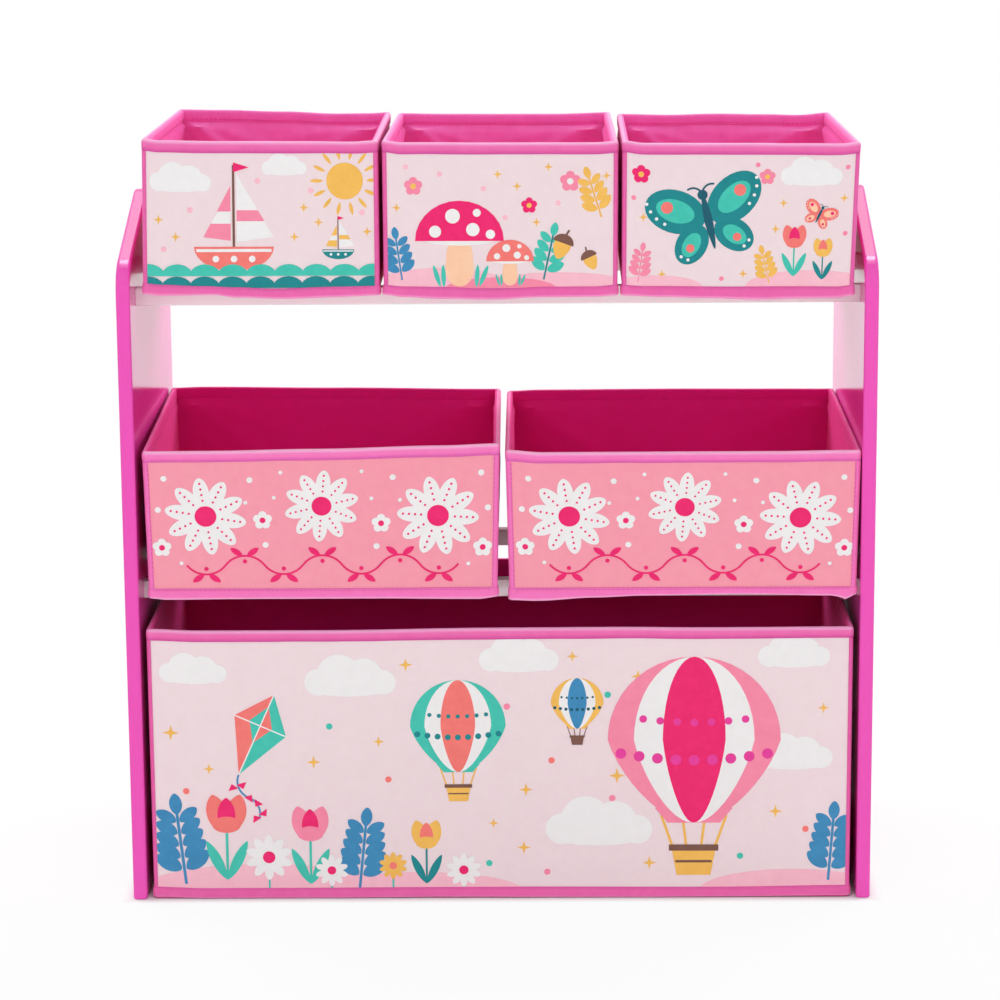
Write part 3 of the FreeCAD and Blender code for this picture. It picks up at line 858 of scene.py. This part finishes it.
def bind_hem(b):
    """The doubled tape that hangs along the front foot and turns both corners."""
    bm, wall, outward = rim_loop(b)
    fold = bm.verts.layers.float.new("fold")
    behind = [v for v in bm.verts if v[wall].y > b.low.y + CORNER + TURN]
    bmesh.ops.delete(bm, geom=behind, context="VERTS")

    def place(v, step):
        out, up = step
        out += HEM_WAVE * noise.noise(Vector((v[wall].x, v[wall].y, 0)) / HEM_WAVE_MM - b.seed) * (1 - up)
        foot, top = (hem_line(b, line, v[wall].x) for line in (b.hem_foot, b.hem_top))
        v.co = beside(b, v[wall], v[outward], out)
        # The hem's bottom fold gets a painted highlight and its top edge the deeper seam tone.
        v[fold] = HEM_FOLD_HIGHLIGHT[b.level] if up < FOLD_BELOW else HEM_SEAM if up > SEAM_ABOVE else 0.0
        v.co.z = foot + (top - foot) * up

    first = bm.edges[:]
    last = sweep(bm, HEM_TAPE, place)[1]
    bmesh.ops.bridge_loops(bm, edges=first + last)
    ends = [e for e in bm.edges if e.is_boundary]
    bmesh.ops.holes_fill(bm, edges=ends, sides=0)
    turn_out(bm)
    return bm


def bind_edges(b):
    """Tape down the two front edges, between the hem and the rim tape."""
    bm, wall, outward = rim_loop(b)
    reach = EDGE_TAPE_REACH[b.level]
    for v in bm.verts:
        v.select = v[wall].y < b.low.y + CORNER + TURN and abs(v[wall].x - b.mid.x) > b.half.x - CORNER - 0.1
    bmesh.ops.delete(bm, geom=[v for v in bm.verts if not v.select], context="VERTS")
    count = round(2 * b.half.z / POINT_PITCH[b.level])

    def place(v, step):
        foot = hem_line(b, b.hem_top, v[wall].x) - HEM_LAP
        top = b.rim - TAPE_DEPTH - RIM_GAP
        v.co = v[wall] + EDGE_TAPE_OUT * v[outward]
        if v[outward].y < FRONTMOST:
            v.co.x -= math.copysign(reach, v[wall].x - b.mid.x)
        v.co.z = foot + (top - foot) * step

    sweep(bm, [i / count for i in range(count + 1)], place)
    turn_out(bm)
    for face in bm.faces:
        face.normal_update()
        sideways = face.normal.x * (face.calc_center_median().x - b.mid.x)
        if face.normal.y > INWARDS or sideways < -INWARDS * b.half.x:
            face.normal_flip()
    bmesh.ops.solidify(bm, geom=bm.faces[:], thickness=-EDGE_TAPE_THICK)
    turn_out(bm)
    return bm


for b in bins:
    whole = gather([bind_rim(b), bind_hem(b), bind_edges(b)])
    tape = tapes["light pink" if b.level == "middle" else "pink"]
    binding = hand_over(whole, b, "binding", [tape, lining_of(b)], ["tape"])
    print(binding.name, len(binding.data.polygons), "faces")

# %% [markdown]
# ## Boards and floor
# Four grey boards stiffen the walls between outside and lining. A cloth floor
# closes the bin, and a covered board lies on it. The boards bend with their bin, so
# each one is a thin slab with enough cuts to follow.

# %% wall boards
BOARD, BOARD_BEVEL = 2.0, 0.25
BOARD_CUTS, CUT_FROM = 8, 20


def stiffener(b, side):
    """One wall board, a slab inside the cover."""
    low, high = (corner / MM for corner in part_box(f"{b.name}_{side}_board"))
    if side == "left":
        high.x = low.x + BOARD
    if side == "right":
        low.x = high.x - BOARD
    bm = bmesh.new()
    bmesh.ops.create_cube(bm, size=1)
    bmesh.ops.scale(bm, vec=high - low, verts=bm.verts)
    bmesh.ops.translate(bm, vec=(low + high) / 2, verts=bm.verts)
    bmesh.ops.bevel(
        bm, geom=bm.edges[:], affect="EDGES", offset=BOARD_BEVEL, segments=1, profile=0.5, material=-1
    )
    long_edges = [e for e in bm.edges if e.calc_length() > CUT_FROM]
    bmesh.ops.subdivide_edges(bm, edges=long_edges, cuts=BOARD_CUTS, use_grid_fill=True)
    return hand_over(bm, b, f"{side}_stiffener", [board_finish], [f"{side}_board"])


for b in bins:
    for side in ("front", "back", "left", "right"):
        stiffener(b, side)
print("wall boards:", 4 * len(bins))

# %% floor cloths and base pads
# Steps are (distance out from the cover, height over the foot of the cover).
FLOOR_CLOTH = [(-0.9, -1.0), (-0.5, -0.85), (-0.4, -0.5), (-0.5, -0.15), (-0.9, 0.0)]
BASE_PAD = [(-6.2, 0.05), (-5.3, 0.35), (-4.95, 1.2), (-4.95, 2.0), (-5.3, 2.75), (-6.2, 3.0)]


def floor_slab(b, profile):
    """A flat slab with a rounded edge that fills the loop."""
    bm, wall, outward = rim_loop(b)

    def place(v, step):
        v.co = beside(b, v[wall], v[outward], step[0])
        v.co.z = b.low.z + step[1]

    first = bm.edges[:]
    last = sweep(bm, profile, place)[1]
    for edges in (first, last):
        bmesh.ops.contextual_create(bm, geom=edges)
    turn_out(bm)
    return bm


for b in bins:
    slab = floor_slab(b, FLOOR_CLOTH)
    hand_over(slab, b, "floor_cloth", [pad_cloth], ["floor_panel"])
    slab = floor_slab(b, BASE_PAD)
    pad = hand_over(slab, b, "base_pad", [pad_cloth], ["base_board"])
    print(pad.name, len(pad.data.polygons), "faces")

# %% [markdown]
# ## Stitches
# Each tape is held by a row of lockstitches about 3 mm long. They could be painted
# on, but then they would vanish in a close view. Here every stitch is a tiny
# bevelled bar that lies on the tape, and all stitches of a bin are one piece.

# %% sewing
STITCH, STITCH_BEVEL = Vector((2.9, 0.55, 0.4)), 0.15
STITCH_PITCH = 4.1
STITCH_FACES = 26
SEAM_BELOW_RIM, SEAM_BELOW_HEM = 7.9, 1.5
TAPE_FACE, HEM_FACE = 1.0, 1.75
# Rows of stitches stop this far before the rounding of a corner.
ROW_INSET, HEM_INSET = 3, 2
# Those down the front lie just inside the edge of their tape and stop short of the other tapes.
EDGE_SEAM, EDGE_GAP = 0.6, 1


def stitch_row(bm, start, end, outward, thread, height=None):
    """A row of stitches from start to end, lying on a surface that faces outward."""
    run = end - start
    count = int(run.length / STITCH_PITCH)
    along = run.normalized()
    turn = Matrix((along, outward.cross(along), outward)).transposed().to_4x4()
    for i in range(count):
        spot = start + run * ((i + 0.5) / count)
        if height:
            spot.z = height(spot.x)
        bar = Matrix.Translation(spot) @ turn @ Matrix.Diagonal((*STITCH, 1))
        made = bmesh.ops.create_cube(bm, size=1, matrix=bar)["verts"]
        for face in {face for v in made for face in v.link_faces}:
            face.material_index = list(threads).index(thread)


def sew(b):
    """All stitches of one bin: round the rim inside and out, down the front edges and along the hem."""
    bm = bmesh.new()
    x_axis, y_axis = Vector((1, 0, 0)), Vector((0, 1, 0))
    inner = -WALL - TAPE_FACE * INNER_RELIEF[b.level]
    for out, thread in ((TAPE_FACE, "tape pink"), (inner, "lining pink")):
        inset = CORNER + ROW_INSET + max(0, -out)
        for side in (-1, 1):
            for along, across in ((x_axis, y_axis), (y_axis, x_axis)):
                spot = b.mid + side * (b.half.dot(across) + out) * across
                spot.z = b.rim - SEAM_BELOW_RIM
                run = (b.half.dot(along) - inset) * along
                stitch_row(bm, spot - run, spot + run, math.copysign(1, side * out) * across, thread)
    front = b.low.y - EDGE_TAPE_OUT - EDGE_TAPE_THICK
    inset = CORNER + EDGE_TAPE_REACH[b.level] - EDGE_SEAM
    for side in (-1, 1):
        x = b.mid.x + side * (b.half.x - inset)
        foot = Vector((x, front, hem_line(b, b.hem_top, x) + EDGE_GAP))
        top = Vector((x, front, b.rim - TAPE_DEPTH - EDGE_GAP))
        stitch_row(bm, foot, top, -y_axis, "edge pink" if b.level == "middle" else "tape pink")
    start = Vector((b.low.x + CORNER + HEM_INSET, b.low.y - HEM_FACE, b.low.z))
    stop = Vector((b.high.x - CORNER - HEM_INSET, b.low.y - HEM_FACE, b.low.z))
    stitch_row(bm, start, stop, -y_axis, "tape pink", lambda x: hem_line(b, b.hem_top, x) - SEAM_BELOW_HEM)
    bmesh.ops.bevel(
        bm, geom=bm.edges[:], affect="EDGES", offset=STITCH_BEVEL, segments=1, profile=0.5, material=-1
    )
    return hand_over(bm, b, "thread", threads.values())


for b in bins:
    thread = sew(b)
    print(thread.name, len(thread.data.polygons) // STITCH_FACES, "stitches")

# %% [markdown]
# ## Prints
# The fronts are printed in flat inks. A picture could be painted into the cloth's
# material, but a motif is easier to draw, cut and see as shape. So each motif is
# stamped from flat circles and corners, cut to its panel and laid on the cloth as a
# thin film. The inks share the bond points of the cloth under them.

# %% inks
INKS = {
    "white": ("#EDEBEB", "#E9E7E7"),
    "rose": ("#F58DA8", "#F083A0"),
    "blush": ("#F6BFCD", "#F2B4C4"),
    "hot pink": ("#EE2471", "#E51B67"),
    "magenta": ("#E8409E", "#DF3794"),
    "coral": ("#F27C76", "#EC716B"),
    "gold": ("#F2BE5E", "#ECB452"),
    "teal": ("#45C4B2", "#3BBAA8"),
    "deep teal": ("#12878C", "#0E7D83"),
    "dark teal": ("#11596B", "#0D5062"),
    "blue": ("#3D8CBB", "#3581B0"),
    "peach": ("#F8CBAA", "#F4C19D"),
    "brown": ("#7B5449", "#714B41"),
}
ink_order = list(INKS)
ink_finishes = [
    bonded_cloth(f"{name} printing ink", first, second, 0.48, 0.25) for name, (first, second) in INKS.items()
]
print("inks:", ink_order)

# %% drawing with stamps
INK_LIFT, INK_STEP, SAME_INK_STEP, INK_THICK = 0.24, 0.02, 0.005, 0.18
UPRIGHT = Matrix.Rotation(math.radians(90), 4, "X")


class Picture:
    """Flat shapes of ink for one front: x to the right of its middle and z up from its foot, in mm."""

    def __init__(self, nudge=0.0):
        self.mesh, self.nudge = bmesh.new(), nudge

    def start(self, x, z, size, turn=0, over=0):
        """Where the next motif goes, how large it is, how far it turns and how many layers it lies over."""
        self.lift, self.ink = INK_LIFT + over * INK_STEP, None
        self.spot = (
            Matrix.Translation((x + self.nudge, 0, z))
            @ UPRIGHT
            @ Matrix.Rotation(math.radians(turn), 4, "Z")
            @ Matrix.Diagonal((size, size, 1, 1))
        )
        return self

    def lay(self, verts, ink, matrix=Matrix.Identity(4)):
        """Puts a shape in place in its ink, a little proud of the shape before it."""
        self.lift += SAME_INK_STEP if ink == self.ink else INK_STEP
        self.ink = ink
        lift = Matrix.Translation((0, -self.lift, 0))
        bmesh.ops.transform(self.mesh, matrix=lift @ self.spot @ matrix, verts=verts)
        for face in {face for v in verts for face in v.link_faces}:
            face.material_index = ink_order.index(ink)

    def stamp(self, ink, x, y, wide, tall=None, turn=0, corners=28, point=0.0, floor=-1.0, drop=0.0):
        """A circle drawn out to an ellipse, petal, leaf, drop or half disc."""
        made = bmesh.ops.create_circle(self.mesh, cap_ends=True, radius=1, segments=corners)["verts"]
        for v in made:
            v.co.y = max(v.co.y * abs(v.co.y) ** point, floor)
            v.co.x *= 1 + drop * min(0.0, v.co.y)
        turned = Matrix.Translation((x, y, 0)) @ Matrix.Rotation(math.radians(turn), 4, "Z")
        self.lay(made, ink, turned @ Matrix.Diagonal((wide, tall or wide, 1, 1)))

    def facet(self, ink, *corners):
        """A flat convex shape from its corners."""
        made = [self.mesh.verts.new((x, y, 0)) for x, y in corners]
        bmesh.ops.contextual_create(self.mesh, geom=made)
        self.lay(made, ink)

    def line(self, ink, start, end, width):
        """A straight line of ink."""
        start, end = Vector(start), Vector(end)
        edge = (end - start).orthogonal().normalized() * width / 2
        self.facet(ink, start + edge, end + edge, end - edge, start - edge)

    def arc(self, ink, x, y, radius, first, sweep_angle, width):
        """A curved line of ink: a short edge spun about the middle of its curve."""
        known = set(self.mesh.verts)
        turn = Matrix.Rotation(math.radians(first), 4, "Z")
        ends = [self.mesh.verts.new(turn @ Vector((radius + w, 0, 0))) for w in (-width / 2, width / 2)]
        edge = self.mesh.edges.new(ends)
        steps, angle = max(4, int(abs(sweep_angle) / 9)), math.radians(sweep_angle)
        spun = {"cent": (0, 0, 0), "axis": (0, 0, 1), "angle": angle, "steps": steps}
        bmesh.ops.spin(self.mesh, geom=[*ends, edge], **spun)
        made = [v for v in self.mesh.verts if v not in known]
        self.lay(made, ink, Matrix.Translation((x, y, 0)))


print("film thickness", INK_THICK, "mm")

# %% garden motifs


def round_about(count, radius, first=0.0):
    """Angles in degrees and points evenly round a circle."""
    for i in range(count):
        angle = first + 360 * i / count
        yield angle, radius * math.cos(math.radians(angle)), radius * math.sin(math.radians(angle))


def daisy(pic, petal, heart, dotted=None, petals=10):
    """A flower of narrow petals round a small heart."""
    for angle, x, y in round_about(petals, 0.62, 90):
        pic.stamp(petal, x, y, 0.4, 0.2, turn=angle, point=0.12)
    if dotted:
        for share in (0.42, 0.57, 0.72, 0.87):
            for _, x, y in round_about(petals, share, 90):
                pic.stamp(dotted, x, y, 0.03, corners=10)
    pic.stamp(heart, 0, 0, 0.27)


def blossom(pic, petal, heart):
    """A small flower of round petals."""
    for _, x, y in round_about(5, 0.55, 90):
        pic.stamp(petal, x, y, 0.42, corners=16)
    pic.stamp(heart, 0, 0, 0.3, corners=16)


def sprig(pic, leaf, stem, pairs=4):
    """A stem with round leaves in pairs and one at its tip."""
    pic.line(stem, (0, 0), (0, 0.9), 0.035)
    for i in range(pairs):
        y = 0.2 + 0.7 * i / pairs
        size = 0.17 - 0.05 * i / pairs
        for side in (-1, 1):
            pic.stamp(leaf, side * size, y + 0.08, size, 0.55 * size, turn=side * 35, point=0.3)
    pic.stamp(leaf, 0, 0.98, 0.13, 0.075, turn=90, point=0.4)


def tulip(pic, petal, inner, stem):
    """A cup of three pointed petals on a stem with two long leaves."""
    pic.line(stem, (0, -1), (0, 0.1), 0.05)
    for side in (-1, 1):
        pic.stamp(stem, side * 0.2, -0.62, 0.42, 0.1, turn=90 - side * 26, point=0.6)
    for side in (-1, 1):
        pic.stamp(petal, side * 0.17, 0.3, 0.38, 0.2, turn=90 - side * 14, point=0.45)
    pic.stamp(inner, 0, 0.27, 0.34, 0.17, turn=90, point=0.45)
    pic.stamp(petal, 0, 0.08, 0.27, 0.16)


def toadstool(pic, cap):
    """A spotted cap on a stout stem, with blades of grass."""
    pic.stamp("peach", 0, 0.3, 0.2, 0.4, drop=-0.35)
    pic.stamp("white", 0, 0.6, 0.5, 0.09)
    pic.stamp(cap, 0, 0.58, 0.66, 0.6, floor=0.0)
    spots = (-0.36, 0.72, 0.09), (-0.1, 0.95, 0.11), (0.2, 0.75, 0.1), (0.46, 0.68, 0.07), (0.26, 1.0, 0.06)
    for x, y, radius in spots:
        pic.stamp("white", x, y, radius, corners=16)
    for x, turn in ((-0.34, 108), (-0.24, 92), (0.26, 86), (0.36, 68)):
        pic.stamp("teal", x, 0.06, 0.17, 0.035, turn=turn, point=0.5)


def acorn(pic):
    """A nut in its cup."""
    pic.line("brown", (0, 0.3), (0.05, 0.52), 0.07)
    pic.stamp("gold", 0, -0.12, 0.3, 0.44, drop=0.3)
    pic.stamp("brown", 0, 0.02, 0.37, 0.32, floor=0.0)


def butterfly(pic, wing, patch, spot):
    """Four rounded wings with lighter patches, spots, a body and feelers."""
    for side in (-1, 1):
        pic.stamp(wing, side * 0.36, -0.34, 0.36, 0.26, turn=-side * 48)
        pic.stamp(wing, side * 0.5, 0.26, 0.52, 0.36, turn=side * 32)
    for side in (-1, 1):
        pic.stamp(patch, side * 0.37, -0.35, 0.22, 0.14, turn=-side * 48)
        pic.stamp(patch, side * 0.5, 0.27, 0.33, 0.19, turn=side * 32)
        pic.stamp(spot, side * 0.62, 0.36, 0.1)
        pic.stamp(spot, side * 0.4, -0.4, 0.07)
        for x, y in ((0.93, 0.5), (0.9, 0.36), (0.83, 0.22), (0.72, 0.1), (0.58, -0.5), (0.48, -0.58)):
            pic.stamp("white", side * x, y, 0.028, corners=10)
        pic.arc("dark teal", side * 0.16, 0.42, 0.16, 180 if side > 0 else 0, -side * 115, 0.03)
    pic.stamp("dark teal", 0, -0.05, 0.07, 0.46, drop=0.4)
    pic.stamp("dark teal", 0, 0.43, 0.085)


print("garden motifs ready")

# %% sky motifs


def cloud(pic):
    """A few overlapping discs on a flat foot."""
    for x, y, r in ((-0.58, 0.16, 0.26), (-0.2, 0.3, 0.4), (0.26, 0.26, 0.36), (0.62, 0.15, 0.24)):
        pic.stamp("white", x, y, r)
    pic.stamp("white", 0, 0.08, 0.82, 0.2)


def sparkle(pic):
    """Two thin crossed diamonds."""
    pic.stamp("gold", 0, 0, 1.0, 0.26, corners=4)
    pic.stamp("gold", 0, 0, 0.26, 1.0, corners=4)
    pic.stamp("gold", 0, 0, 0.36, corners=12)


def sun(pic):
    """A disc with pointed rays."""
    for angle, x, y in round_about(14, 0.86):
        pic.stamp("gold", x, y, 0.2, 0.055, turn=angle, point=0.5)
    pic.stamp("gold", 0, 0, 0.56)


def balloon(pic, outer, inner, band, basket):
    """A hot air balloon whose panels are nested drops, with a dotted band and a basket."""
    for x in (-0.2, -0.07, 0.07, 0.2):
        pic.line(basket, (1.25 * x, 0.06), (0.8 * x, -0.2), 0.02)
    pic.facet(outer, (-0.3, 0.12), (0.3, 0.12), (0.2, 0.0), (-0.2, 0.0))
    for ink, wide in ((outer, 0.66), ("white", 0.46), (inner, 0.24)):
        pic.stamp(ink, 0, 0.66, wide, 0.66, drop=0.3, corners=44)
    for count, first, pitch, height, radius, corners in (
        (9, -0.56, 0.14, 0.6, 0.042, 14),
        (7, -0.39, 0.13, 0.9, 0.03, 12),
    ):
        for i in range(count):
            x = first + pitch * i
            pic.stamp(band, x, height - 0.1 * math.cos(1.9 * x), radius, corners=corners)
    pic.facet(basket, (-0.17, -0.2), (0.17, -0.2), (0.13, -0.42), (-0.13, -0.42))
    pic.line("brown", (-0.19, -0.2), (0.19, -0.2), 0.05)
    pic.line("brown", (-0.14, -0.31), (0.14, -0.31), 0.02)


def kite(pic, first, second, tail):
    """A diamond in two halves with a curling tail of bows."""
    pic.arc(tail, 0.3, -0.78, 0.3, 180, 95, 0.03)
    pic.arc(tail, 0.31, -1.38, 0.3, 92, -88, 0.03)
    for x, y, turn in ((0.06, -0.98, 40), (0.4, -1.1, -10), (0.6, -1.3, 60)):
        for angle, right, up in round_about(2, 0.08, turn):
            pic.stamp("hot pink", x + right, y + up, 0.1, 0.07, turn=angle + 180, corners=3)
    pic.facet(first, (0, 0.72), (-0.46, 0.14), (0, -0.78))
    pic.facet(second, (0, 0.72), (0, -0.78), (0.46, 0.14))
    pic.facet(second, (0, 0.5), (-0.2, 0.16), (0, -0.18))
    pic.facet(first, (0, 0.5), (0, -0.18), (0.2, 0.16))
    pic.line("white", (0, 0.72), (0, -0.78), 0.02)
    pic.line("white", (-0.46, 0.14), (0.46, 0.14), 0.02)


def boat(pic, hull, second):
    """A sailing boat with two sails and a pennant."""
    pic.line("brown", (0, 0.02), (0, 1.42), 0.04)
    pic.facet("white", (0.05, 0.16), (0.05, 1.28), (0.66, 0.24))
    pic.facet(second, (0.05, 0.5), (0.05, 0.68), (0.4, 0.68), (0.51, 0.5))
    pic.facet(second, (-0.05, 0.18), (-0.5, 0.24), (-0.05, 1.08))
    pic.facet("white", (-0.05, 0.46), (-0.38, 0.46), (-0.27, 0.66), (-0.05, 0.66))
    pic.facet("hot pink", (0, 1.3), (0, 1.46), (0.26, 1.38))
    pic.stamp(hull, 0, 0.08, 0.66, 0.4, turn=180, floor=0.0)
    pic.line("white", (-0.62, 0.02), (0.62, 0.02), 0.05)
    for x in (-0.3, 0.0, 0.3):
        pic.stamp("white", x, -0.12, 0.055, corners=14)


def waves(pic, ink, count):
    """A row of scallops, each half a disc."""
    for i in range(count):
        pic.stamp(ink, i - (count - 1) / 2, 0, 0.56, 0.42, floor=0.0, corners=20)


print("sky motifs ready")

# %% laying a print on its front
CUT_PITCH = 9.0
SIDE_MARGIN, TOP_OVERLAP, FOOT_MARGIN = 0.4, 1.0, 0.5


def cut(bm, place, facing, **options):
    """Cuts the flat shapes along a plane."""
    whole = bm.verts[:] + bm.edges[:] + bm.faces[:]
    bmesh.ops.bisect_plane(bm, geom=whole, plane_co=place, plane_no=facing, **options)


def press(name, pic):
    """Cuts a picture to the front of the named bin and lays it on the cloth."""
    b = next(b for b in bins if b.name == name)
    bm = pic.mesh
    side, top = b.half.x - CORNER - SIDE_MARGIN, 2 * b.half.z - TAPE_DEPTH + TOP_OVERLAP
    for way in (1, -1):
        cut(bm, (way * side, 0, 0), (way, 0, 0), clear_outer=True)
    for height, way in ((top, 1), (FOOT_MARGIN, -1)):
        cut(bm, (0, 0, height), (0, 0, way), clear_outer=True)
    for i in range(int(-side / CUT_PITCH), int(side / CUT_PITCH) + 1):
        cut(bm, (i * CUT_PITCH, 0, 0), (1, 0, 0))
    for i in range(1, int(top / CUT_PITCH) + 1):
        cut(bm, (0, 0, i * CUT_PITCH), (0, 0, 1))
    made = bmesh.ops.extrude_face_region(bm, geom=bm.faces[:], use_keep_orig=True)["geom"]
    backs = [g for g in made if isinstance(g, bmesh.types.BMVert)]
    bmesh.ops.translate(bm, vec=(0, INK_THICK, 0), verts=backs)
    turn_out(bm)
    for v in bm.verts:
        x, z = b.mid.x + v.co.x, b.low.z + v.co.z
        off = slack(b, "print", Vector((x, b.low.y, 0)), z, v.co.x, b.half.x)
        v.co = Vector((x, b.low.y + v.co.y - off, z))
    made = hand_over(bm, b, "print", ink_finishes)
    print(made.name, len(made.data.polygons), "faces")


def dots(pic, ink, radius, *spots, corners=16):
    """Small round dots."""
    for x, z in spots:
        pic.start(x, z, 1).stamp(ink, 0, 0, radius, corners=corners)


def sparkles(pic, size, *spots):
    """Sparkles of one size."""
    for x, z in spots:
        sparkle(pic.start(x, z, size))


print("prints are cut every", CUT_PITCH, "mm to follow their cloth")

# %% [markdown]
# ## What the prints show
# The top bins carry a boat, toadstools and a butterfly, the middle bins large white
# flowers over a climbing stem, and the bottom bin balloons and a kite over a flower
# bed. Motifs run under the tapes, as they do where cloth is cut from a roll.

# %% top left print
pic = Picture()
cloud(pic.start(-66, 86, 30))
cloud(pic.start(20, 99, 22))
sun(pic.start(70, 92, 27))
boat(pic.start(-22, 34, 50), "coral", "rose")
boat(pic.start(64, 34, 20), "deep teal", "gold")
waves(pic.start(0, 14, 23, over=11), "teal", 9)
waves(pic.start(11, 4, 23, over=12), "deep teal", 10)
sparkles(pic, 4.2, (-84, 60), (-70, 46), (36, 70), (48, 58), (88, 50), (28, 46))
dots(pic, "blush", 2.4, (-58, 68), (-80, 36), (42, 84), (84, 66), (-2, 92))
press("top_left_bin", pic)

# %% top centre print
pic = Picture()
hills = pic.start(0, 3, 1)
for x, wide, tall, ink in ((-50, 60, 17, "blush"), (48, 66, 13, "blush"), (0, 46, 9, "rose")):
    hills.stamp(ink, x, 0, wide, tall, floor=0.0, corners=40)
toadstool(pic.start(-34, 10, 56, over=2), "hot pink")
toadstool(pic.start(8, 8, 30, over=7), "coral")
sprig(pic.start(36, 10, 44, turn=-12, over=2), "teal", "deep teal")
sprig(pic.start(-82, 10, 40, turn=8, over=2), "blue", "blue")
acorn(pic.start(52, 40, 24, turn=-20, over=4))
acorn(pic.start(74, 28, 19, turn=25, over=4))
sprig(pic.start(84, 62, 40, turn=18), "gold", "gold")
blossom(pic.start(-72, 88, 8), "rose", "gold")
blossom(pic.start(24, 72, 7), "hot pink", "gold")
blossom(pic.start(58, 92, 9), "rose", "white")
sparkles(pic, 4, (-86, 70), (-2, 98), (14, 88), (40, 104), (88, 96), (30, 58))
dots(pic, "blush", 2.2, (-14, 86), (4, 62), (48, 74), (70, 78), (-78, 104), (-50, 98))
press("top_centre_bin", pic)

# %% top right print
pic = Picture()
cloud(pic.start(58, 92, 30))
for x, wide, tall in ((60, 54, 14), (-70, 40, 10)):
    pic.start(x, 3, 1).stamp("blush", 0, 0, wide, tall, floor=0.0, corners=40)
butterfly(pic.start(-26, 60, 50, turn=14), "deep teal", "teal", "coral")
butterfly(pic.start(66, 64, 15, turn=-24), "coral", "peach", "hot pink")
tulip(pic.start(46, 38, 26, over=1), "coral", "hot pink", "teal")
tulip(pic.start(70, 30, 21, over=5), "gold", "coral", "deep teal")
sprig(pic.start(26, 6, 30, turn=14, over=1), "gold", "gold")
sprig(pic.start(-84, 8, 30, turn=-8, over=1), "rose", "rose")
blossom(pic.start(22, 96, 7), "rose", "gold")
blossom(pic.start(-82, 98, 8), "hot pink", "gold")
sparkles(pic, 4, (36, 74), (86, 78), (30, 52), (-80, 62), (-64, 14), (4, 14))
dots(pic, "rose", 2.0, (14, 106), (88, 48), (-88, 78), (-14, 10), (88, 104))
press("top_right_bin", pic)

# %% middle prints
VINE_HALF, VINE_RADIUS, VINE_ANGLE, VINE_HEIGHT = 33.0, 20.5, 53.6, 22

for name, nudge in (("middle_left_bin", 0.0), ("middle_right_bin", 1.5)):
    pic = Picture(nudge)
    drop = VINE_RADIUS * math.cos(math.radians(VINE_ANGLE))
    for i in range(7):
        up = 1 if i % 2 else -1
        pic.start((i - 3) * VINE_HALF, VINE_HEIGHT - up * drop, 1)
        pic.arc("hot pink", 0, 0, VINE_RADIUS, up * 90 - VINE_ANGLE, 2 * VINE_ANGLE, 1.7)
        for side in (-1, 1):
            turn = 90 - side * 55 if up > 0 else -90 + side * 55
            pic.stamp("hot pink", side * 7, up * (VINE_RADIUS + 3.5), 6, 2.6, turn=turn, point=0.5)
        pic.stamp("hot pink", 0, up * (VINE_RADIUS - 5), 1.9, corners=16)
    for x, z, size, turn in ((-98, 66, 34, 8), (0, 74, 31, -5), (98, 64, 34, 14)):
        daisy(pic.start(x, z, size, turn), "white", "hot pink", "hot pink")
    for x, z in ((-50, 62), (50, 58), (-136, 38), (136, 36)):
        blossom(pic.start(x, z, 8.5), "white", "hot pink")
    large = (-60, 98), (60, 98), (-132, 100), (134, 100), (-48, 40), (46, 38), (-138, 72), (140, 70)
    small = (-40, 82), (42, 80), (-64, 78), (66, 78), (-34, 104), (34, 104), (-120, 24), (124, 22)
    dots(pic, "white", 2.6, *large)
    dots(pic, "white", 1.7, *small, corners=14)
    press(name, pic)

# %% bottom print
pic = Picture()
hills = pic.start(0, 4, 1)
for x, wide, tall in ((-205, 110, 26), (-70, 90, 18), (250, 80, 20)):
    hills.stamp("blush", x, 0, wide, tall, floor=0.0, corners=48)
for x, z, size in (
    (84, 52, 54), (250, 118, 40), (-128, 186, 46), (16, 205, 40), (250, 208, 36), (-262, 196, 34)
):
    cloud(pic.start(x, z, size))
balloon(pic.start(166, 66, 112, over=1), "rose", "hot pink", "magenta", "gold")
balloon(pic.start(-36, 112, 62, over=1), "teal", "coral", "deep teal", "gold")
balloon(pic.start(66, 150, 34, over=1), "gold", "blue", "dark teal", "brown")
kite(pic.start(-208, 148, 52, turn=-24), "coral", "teal", "blue")
for x, z, size, turn in ((-272, 12, 74, 6), (-122, 8, 66, -6), (282, 14, 64, -4)):
    sprig(pic.start(x, z, size, turn, over=1), "blue", "blue", 5)
tulip(pic.start(-236, 62, 46, over=2), "coral", "hot pink", "teal")
tulip(pic.start(-164, 54, 42, over=2), "rose", "hot pink", "teal")
tulip(pic.start(-64, 46, 34, over=2), "gold", "coral", "deep teal")
for x, z, size, petal, heart in (
    (-200, 36, 20, "white", "hot pink"),
    (-146, 24, 14, "white", "hot pink"),
    (-93, 28, 12, "gold", "coral"),
    (-32, 24, 15, "white", "hot pink"),
):
    pic.start(x, z, 1, over=6).line("teal", (0, -z), (0, 0), 1.6)
    daisy(pic.start(x, z, size, over=7), petal, heart)
for x, z, size in (
    (-282, 148, 7), (-160, 122, 6), (-104, 140, 5), (-80, 208, 6), (22, 96, 6), (100, 108, 7), (118, 196, 6),
    (226, 172, 7), (276, 168, 5), (236, 76, 6), (20, 44, 6), (-6, 66, 4.5), (62, 214, 5), (-250, 116, 5),
    (128, 30, 6),
):
    sparkle(pic.start(x, z, size))
for x, z, ink in (
    (-146, 154, "teal"), (-96, 106, "coral"), (44, 122, "coral"), (6, 170, "rose"), (92, 180, "teal"),
    (262, 60, "coral"), (226, 136, "rose"), (206, 36, "teal"), (40, 22, "rose"), (-10, 30, "teal"),
    (96, 88, "rose"), (-270, 96, "coral"),
):
    dots(pic, ink, 2.8, (x, z))
press("bottom_bin", pic)
